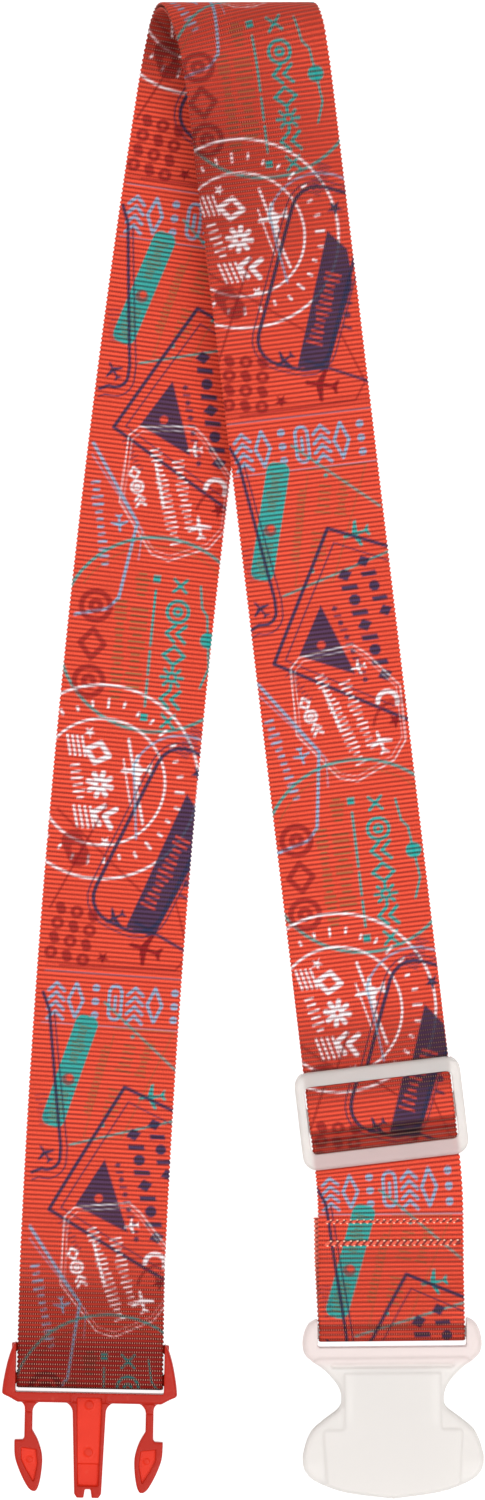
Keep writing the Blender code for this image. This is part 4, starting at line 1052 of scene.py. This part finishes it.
def frosted_material(name, depth, through):
    made, shader = new_material(name)
    place = add_node(made, "ShaderNodeTexCoord").outputs["Object"]
    grain = noise(made, place, 1400.0, 3.0)
    cloud = noise(made, place, 45.0)
    # Painted light: a pink tint stands for the red webbing seen through the plastic.
    strap_show_through = stored(made, "strap_show_through")
    colour = mixed(made, strap_show_through, (0.84, 0.80, 0.765, 1), (0.84, 0.66, 0.64, 1))
    colour = mixed(made, sums(made, "MULTIPLY", cloud, 0.2), colour, (0.74, 0.72, 0.72, 1))
    bump = add_node(made, "ShaderNodeBump", {"Height": grain, "Strength": depth, "Distance": 0.00006})
    rough = sums(made, "MULTIPLY_ADD", cloud, 0.18, 0.34)
    look = {"Base Color": colour, "Normal": bump.outputs[0], "Roughness": rough, "IOR": 1.45}
    feed(made.node_tree, shader, {**look, "Transmission Weight": through, "Specular IOR Level": 0.45})
    return made


FROSTED = frosted_material("frosted_plastic", 0.25, 0.30)
FROSTED_THIN = frosted_material("frosted_plastic_clear", 0.25, 0.55)


def kept(solid, name):
    mesh = bpy.data.meshes.new(name)
    solid.to_mesh(mesh)
    solid.free()
    return link(name, mesh)


def prism(outline, low, high, bevel=0.0, segments=3):
    """A flat outline between two heights, with its top and bottom edges rounded."""
    solid = bmesh.new()
    bottom = solid.faces.new([solid.verts.new((x, y, low)) for x, y in outline])
    grown = bmesh.ops.extrude_face_region(solid, geom=[bottom])
    raised = [v for v in grown["geom"] if isinstance(v, bmesh.types.BMVert)]
    bmesh.ops.translate(solid, verts=raised, vec=(0, 0, high - low))
    bmesh.ops.recalc_face_normals(solid, faces=solid.faces)
    if bevel:
        rims = [e for e in solid.edges if abs(e.verts[0].co.z - e.verts[1].co.z) < 1e-7]
        bmesh.ops.bevel(
            solid,
            geom=rims,
            offset=bevel,
            segments=segments,
            profile=0.5,
            affect="EDGES",
            clamp_overlap=False,
        )
    many = [f for f in solid.faces if len(f.verts) > 4]
    bmesh.ops.triangulate(solid, faces=many, ngon_method="EAR_CLIP")
    return kept(solid, "prism")


def block(x, y, z, bevel=0.0):
    return prism([(x[0], y[0]), (x[1], y[0]), (x[1], y[1]), (x[0], y[1])], z[0], z[1], bevel)


def rod(length, width, thick, y, z, steps=24):
    """A bar across the webbing with an oval section."""
    turns = [2 * math.pi * i / steps for i in range(steps)]
    solid = bmesh.new()
    section = [
        solid.verts.new((-length / 2, y + width / 2 * math.cos(t), z + thick / 2 * math.sin(t)))
        for t in turns
    ]
    grown = bmesh.ops.extrude_face_region(solid, geom=[solid.faces.new(section)])
    moved = [v for v in grown["geom"] if isinstance(v, bmesh.types.BMVert)]
    bmesh.ops.translate(solid, verts=moved, vec=(length, 0, 0))
    bmesh.ops.recalc_face_normals(solid, faces=solid.faces)
    return kept(solid, "rod")


def combine(obj, tool, operation):
    change = obj.modifiers.new(operation, "BOOLEAN")
    change.operation, change.solver, change.object = operation, "MANIFOLD", tool
    apply_modifiers(obj)
    bpy.data.objects.remove(tool)


def moulded(obj, name, voxel, rounds, place, look):
    """The finished moulding: all its edges melted round, in its place on the strap."""
    fine = obj.modifiers.new("fine", "REMESH")
    fine.mode, fine.voxel_size = "VOXEL", voxel
    relax = obj.modifiers.new("relax", "SMOOTH")
    relax.factor, relax.iterations = 0.5, rounds
    apply_modifiers(obj)
    local = np.empty(len(obj.data.vertices) * 3)
    obj.data.vertices.foreach_get("co", local)
    obj.data.transform(place)
    obj.data.materials.clear()
    obj.data.materials.append(look)
    obj.data.shade_smooth()
    obj.name = name
    return local.reshape(-1, 3)


def rounded(x, y, radius, steps=8):
    size = (x[1] - x[0], y[1] - y[0])
    centre = ((x[0] + x[1]) / 2, (y[0] + y[1]) / 2)
    points = []
    for sx, sy, first in ((1, 1, 0), (-1, 1, 90), (-1, -1, 180), (1, -1, 270)):
        corner = (centre[0] + sx * (size[0] / 2 - radius), centre[1] + sy * (size[1] / 2 - radius))
        points += circle(corner, radius, first, first + 90, steps)
    return points


SLIDER_HALF = SLOT / 2 + 0.0031
slider = prism(rounded((-SLIDER_HALF, SLIDER_HALF), (-0.017, 0.017), 0.005), -0.0044, 0.0031, 0.0013, 4)
channel = block((-SLOT / 2, SLOT / 2), (-0.04, 0.04), (-0.02, 0.0009))
combine(slider, channel, "DIFFERENCE")
window = rounded((-SLOT / 2, SLOT / 2), (SLIDER_LOW_Y, SLIDER_TOP_Y), 0.0022)
combine(slider, prism(window, -0.02, 0.02), "DIFFERENCE")
combine(slider, rod(SLOT + 0.002, BAR_WIDTH, 0.002, 0, BAR_MIDDLE + 0.00001), "UNION")
local = moulded(slider, "slider_moulding", 0.00028, 7, SLIDER_FRAME, FROSTED_THIN)
# Painted light: pink where the slider lies over the strap, more towards its lower bar.
over = np.clip((0.0262 - np.abs(local[:, 0])) / 0.002, 0, 1)
store(slider.data, "strap_show_through", "FLOAT", over * (0.55 - 0.45 * np.tanh(local[:, 1] / 0.004)))
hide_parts("slider_frame")
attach(slider, "slider")

# ---- Female buckle ----
# A hollow moulding of the same frosted plastic: a socket with a curved mouth and two side windows, a
# raised panel on both faces, and a thick round band and ears that hold the bar for the webbing.
MOUTH = -0.0572
COLLAR = -0.0447
SHOULDER = -0.0322
BAND = -0.0096
WAIST = -0.0224
EAR = SLOT / 2 + 0.0053


def smooth_line(knots, steps):
    """A Catmull-Rom line through the knots, from the first to the last."""
    padded = np.array([knots[0], *knots, knots[-1]])
    line = []
    for p0, p1, p2, p3 in zip(padded, padded[1:], padded[2:], padded[3:]):
        for t in np.arange(steps) / steps:
            point = 2 * p1 + (p2 - p0) * t + (2 * p0 - 5 * p1 + 4 * p2 - p3) * t**2
            line.append(tuple((point + (3 * p1 - p0 - 3 * p2 + p3) * t**3) / 2))
    return line + [tuple(knots[-1])]


side = [
    (SLOT / 2, 0.0050),
    (SLOT / 2 + 0.0030, 0.0033),
    (EAR - 0.0006, 0),
    (EAR, -0.0040),
    (EAR - 0.0007, -0.0072),
    (EAR - 0.0030, BAND),
    (EAR - 0.0073, BAND - 0.0030),
    (0.0191, WAIST + 0.0046),
    (0.0177, WAIST),
    (0.0187, WAIST - 0.0036),
    (0.0241, SHOULDER + 0.0020),
    (0.0285, SHOULDER - 0.0022),
    (0.0309, SHOULDER - 0.0086),
    (0.0312, COLLAR),
    (0.0301, COLLAR - 0.0032),
    (0.0265, MOUTH + 0.0060),
    (0.0163, MOUTH + 0.0022),
    (0, MOUTH),
]
line = smooth_line(side, 5)
plate = [(x, y) for x, y in line if y <= BAND + 0.0001]
ears = [(x, y) for x, y in line if y >= BAND - 0.0032]


def both_sides(points):
    tail = points[:-1] if abs(points[-1][0]) < 1e-9 else points
    return points + [(-x, y) for x, y in reversed(tail)]


female = prism(both_sides(plate), -0.0054, 0.0054, 0.0018, 4)
panel = [(x * 0.985, y + 0.0007) for x, y in line if y < MOUTH + 0.0048]
panel = [
    (0.0166, BAND - 0.0042),
    (0.0166, SHOULDER - 0.0002),
    (0.0172, SHOULDER - 0.0010),
    (0.0232, SHOULDER - 0.0010),
    (0.0239, SHOULDER - 0.0018),
] + [point for point in panel if point[0] < 0.0239]
combine(female, prism(both_sides(panel), -0.006, 0.006, 0.00045, 2), "UNION")
for face in (-1, 1):
    groove = block((-0.0212, 0.0213), (BAND - 0.0024, BAND - 0.0008), sorted((face * 0.0043, face * 0.02)))
    combine(female, groove, "DIFFERENCE")
combine(female, prism(both_sides(ears), -0.0047, 0.0047, 0.0024, 5), "UNION")
combine(female, block((-SLOT / 2, SLOT / 2), (-0.0050, 0.02), (-0.02, 0.02)), "DIFFERENCE")
combine(female, block((-0.024, 0.024), (MOUTH - 0.01, SHOULDER), (-0.0032, 0.0032)), "DIFFERENCE")
combine(female, block((-0.0135, 0.0135), (SHOULDER - 0.002, BAND - 0.0035), (-0.0032, 0.0032)), "DIFFERENCE")
for sign_x in (-1, 1):
    low, high = sorted((sign_x * 0.0155, sign_x * 0.05))
    combine(female, block((low, high), (COLLAR, BAND - 0.0045), (-0.0032, 0.0032)), "DIFFERENCE")
    low, high = sorted((sign_x * 0.0212, sign_x * 0.0262))
    for face in (-1, 1):
        deep = sorted((face * 0.0047, face * 0.02))
        notch = block((low, high), (SHOULDER + 0.0001, SHOULDER + 0.0008), deep)
        combine(female, notch, "DIFFERENCE")
combine(female, rod(SLOT + 0.002, 0.0034, 0.0034, 0, 0), "UNION")
local = moulded(female, "female_moulding", 0.00042, 6, FEMALE_FRAME, FROSTED)
# Painted light: pink over the band and ears, where the webbing wraps the bar inside.
store(female.data, "strap_show_through", "FLOAT", 0.55 * np.clip((local[:, 1] - BAND + 0.0030) / 0.003, 0, 1))
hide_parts("female_body")
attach(female, "female_buckle")

# ---- Male buckle ----
# Red acetal: ears and two bars for the webbing, a band, and a guide prong with a sunk floor that bears
# two ejector marks and steps down towards its notched tip. Thin floors get a brighter red: painted light,
# standing for the table's light shining through them.
MALE_THICK = 0.0075
MALE_HALF = SLOT / 2 + 0.0045
BAND_LOW = -0.0082
ARM_X = 0.02085
STUB = 0.0036
TIP = BAND_LOW - 0.0327


def red_plastic_material():
    made, shader = new_material("red_plastic")
    place = add_node(made, "ShaderNodeTexCoord").outputs["Object"]
    grain = noise(made, place, 1800.0, 3.0)
    cloud = noise(made, place, 90.0)
    # Painted light: thin floors get a brighter red, standing for the table's light shining through them.
    colour = mixed(made, stored(made, "thin_floor_light"), (0.42, 0.016, 0.006, 1), (0.74, 0.032, 0.010, 1))
    colour = mixed(made, sums(made, "MULTIPLY", cloud, 0.35), colour, (0.33, 0.010, 0.005, 1))
    scuff = sums(made, "MAXIMUM", sums(made, "MULTIPLY_ADD", noise(made, place, 420.0, 4.0), 4.0, -2.5), 0.0)
    colour = mixed(made, sums(made, "MULTIPLY", scuff, 0.25), colour, (0.70, 0.12, 0.07, 1))
    bump = add_node(made, "ShaderNodeBump", {"Height": grain, "Strength": 0.3, "Distance": 0.00005})
    rough = sums(made, "MULTIPLY_ADD", cloud, 0.25, 0.26)
    look = {"Base Color": colour, "Normal": bump.outputs[0], "Roughness": rough, "Specular IOR Level": 0.16}
    feed(made.node_tree, shader, look)
    return made


RED_PLASTIC = red_plastic_material()


def fillet(x, radius, side, steps=7):
    """Points of a concave corner under the band, from the band down to a leg's flank at x."""
    points = []
    for t in np.radians(np.linspace(0, 90, steps + 1)):
        y = BAND_LOW + 0.0002 - (radius + 0.0002) * (1 - math.cos(t))
        points.append((x + side * radius * (1 - math.sin(t)), y))
    return points


male_side = [
    (SLOT / 2 - 0.0006, 0.0127),
    (MALE_HALF - 0.0036, 0.0115),
    (MALE_HALF - 0.0018, 0.0063),
    (MALE_HALF - 0.0005, 0),
    (MALE_HALF, -0.0040),
    (MALE_HALF - 0.0002, -0.0055),
    (MALE_HALF - 0.0024, BAND_LOW + 0.0016),
    (ARM_X + 0.00395, BAND_LOW),
]
male = prism(both_sides(smooth_line(male_side, 5)), -MALE_THICK / 2, MALE_THICK / 2, 0.0011, 3)
combine(male, block((-SLOT / 2, SLOT / 2), (-0.0047, 0.03), (-0.02, 0.02)), "DIFFERENCE")
combine(male, rod(SLOT + 0.003, 0.0038, 0.0023, 0, 0), "UNION")
combine(male, rod(SLOT + 0.003, 0.0030, 0.0023, 0.0107, 0), "UNION")
legs = [(ARM_X + 0.00365, BAND_LOW + 0.001)] + fillet(ARM_X + 0.00135, 0.0023, 1)
legs += [(ARM_X + 0.00135, BAND_LOW - STUB), (ARM_X - 0.00135, BAND_LOW - STUB)]
legs += fillet(ARM_X - 0.00135, 0.0034, -1)[::-1] + fillet(0.0057, 0.0035, 1)
legs += [(0.00465, TIP + 0.0014), (0.00375, TIP), (0.0014, TIP), (0.0010, TIP + 0.0030)]
combine(male, prism(both_sides(legs), -0.0025, 0.0025, 0.0005, 2), "UNION")
for face in (-1, 1):
    top = face * MALE_THICK / 2
    for x in (-0.0060, 0.0060):
        raised = sorted((top * 0.9, top + face * 0.00025))
        rib = block((x - 0.00025, x + 0.00025), (BAND_LOW + 0.0002, -0.0050), raised)
        combine(male, rib, "UNION")
    floor = face * 0.0016
    pocket = [(-0.0036, TIP + 0.0040), (0.0036, TIP + 0.0040), (0.0043, -0.0064), (-0.0043, -0.0064)]
    combine(male, prism(pocket, *sorted((floor, face * 0.01))), "DIFFERENCE")
    step = [(-0.0034, TIP + 0.0042), (0.0034, TIP + 0.0042), (0.0038, TIP + 0.0118), (-0.0038, TIP + 0.0118)]
    combine(male, prism(step, *sorted((face * 0.0009, face * 0.01))), "DIFFERENCE")
    for y in (-0.0089, -0.0252):
        mark = prism(circle((0, y), 0.00135, steps=20), *sorted((face * 0.0012, face * 0.00195)))
        combine(male, mark, "UNION")
local = moulded(male, "male_moulding", 0.00024, 4, MALE_FRAME, RED_PLASTIC)
# Painted light: the prong's thin floors are marked for a brighter red.
thin_floor_light = np.clip((0.00235 - np.abs(local[:, 2])) / 0.0006, 0, 1)
store(male.data, "thin_floor_light", "FLOAT", thin_floor_light * (local[:, 1] < -0.0062))
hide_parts("male_frame")
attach(male, "male_buckle")

# ---- Spring arms ----
# Moulded with the male buckle: a slim stem that flexes and a leaf-shaped head with a barb, hollowed on
# both faces to an even wall, with one ejector mark in the hollow.
head_top = STUB - 0.0128
head_low = head_top - 0.0179
outer = [
    (0.00135, 0.0004),
    (0.00135, head_top + 0.0006),
    (0.00190, head_top - 0.0002),
    (0.00475, head_top - 0.0003),
    (0.00475, head_top - 0.0012),
    (0.00440, head_top - 0.0064),
    (0.00225, head_top - 0.0122),
    (-0.00045, head_low + 0.0010),
    (-0.00255, head_low),
    (-0.00375, head_low + 0.0015),
    (-0.00465, head_low + 0.0057),
    (-0.00495, head_low + 0.0118),
    (-0.00355, head_top - 0.0008),
    (-0.00135, head_top + 0.0032),
    (-0.00135, 0.0004),
]
outer = outer[:5] + smooth_line(outer[4:14], 5)[1:] + outer[14:]
hollow = [(0.0024, -0.0120), (-0.0028, -0.0127), (-0.0034, -0.0177)]
hollow += [(-0.0022, -0.0242), (0.0007, -0.0193), (0.0023, -0.0160)]
for sign_x, name, body in ((-1, "male_arm_left", "left_arm"), (1, "male_arm_right", "right_arm")):
    hinge = MALE_FRAME @ Matrix.Translation((sign_x * ARM_X, BAND_LOW - STUB, 0))
    arm = prism([(sign_x * x, y) for x, y in outer], -0.0025, 0.0025, 0.0005, 2)
    for face in (-1, 1):
        sunk = prism([(sign_x * x, y) for x, y in hollow], *sorted((face * 0.0014, face * 0.01)))
        combine(arm, sunk, "DIFFERENCE")
        spot = circle((sign_x * -0.0007, -0.0162), 0.0010, steps=20)
        mark = prism(spot, *sorted((face * 0.0010, face * 0.0017)))
        combine(arm, mark, "UNION")
    local = moulded(arm, name + "_moulding", 0.00020, 4, hinge, RED_PLASTIC)
    # Painted light: the thin floor of the hollow is marked for a brighter red.
    inside = (local[:, 1] < -0.0120) & (np.abs(local[:, 0] + sign_x * 0.0005) < 0.0031)
    store(arm.data, "thin_floor_light", "FLOAT", np.clip((0.0022 - np.abs(local[:, 2])) / 0.0006, 0, 1) * inside)
    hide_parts(name)
    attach(arm, body)

# ---- Table, light and camera ----
# A white table under wide soft lights, seen from straight above.
floor_material, floor_shader = new_material("white_table")
floor_look = {"Base Color": (0.35, 0.35, 0.35, 1), "Roughness": 0.9}
floor_look.update({"Emission Color": (1, 1, 1, 1), "Emission Strength": 0.88})
feed(floor_material.node_tree, floor_shader, floor_look)
bpy.ops.mesh.primitive_plane_add(size=6, location=(0, 0, -0.0003))
floor = bpy.context.object
floor.name = "table"
floor.data.materials.append(floor_material)


def softbox(name, location, size, power):
    light = bpy.data.lights.new(name, "AREA")
    light.shape = "RECTANGLE"
    light.size, light.size_y = size
    light.energy = power
    obj = link(name, light)
    obj.location = location
    obj.rotation_euler = (-Vector(location)).to_track_quat("-Z", "Y").to_euler()


softbox("key", (1.35, -1.35, 4.2), (3.3, 3.3), 135)
softbox("fill", (-2.7, 1.5, 3.9), (3.6, 3.6), 63)
world = bpy.data.worlds.new("studio")
world.use_nodes = True
feed(world.node_tree, world.node_tree.nodes["Background"], {"Color": (1, 1, 1, 1), "Strength": 0.62})
bpy.context.scene.world = world
bpy.context.scene.view_settings.view_transform = "Standard"

camera_data = bpy.data.cameras.new("camera")
camera = link("camera", camera_data)
CAMERA_HEIGHT = 3.2
camera.location = (-0.0002, 0.0003, CAMERA_HEIGHT)
camera_data.sensor_fit = "VERTICAL"
camera_data.sensor_height = 24
camera_data.lens = 24 * (CAMERA_HEIGHT - 0.003) / 0.5172
camera_data.clip_start = 0.01
bpy.context.scene.camera = camera
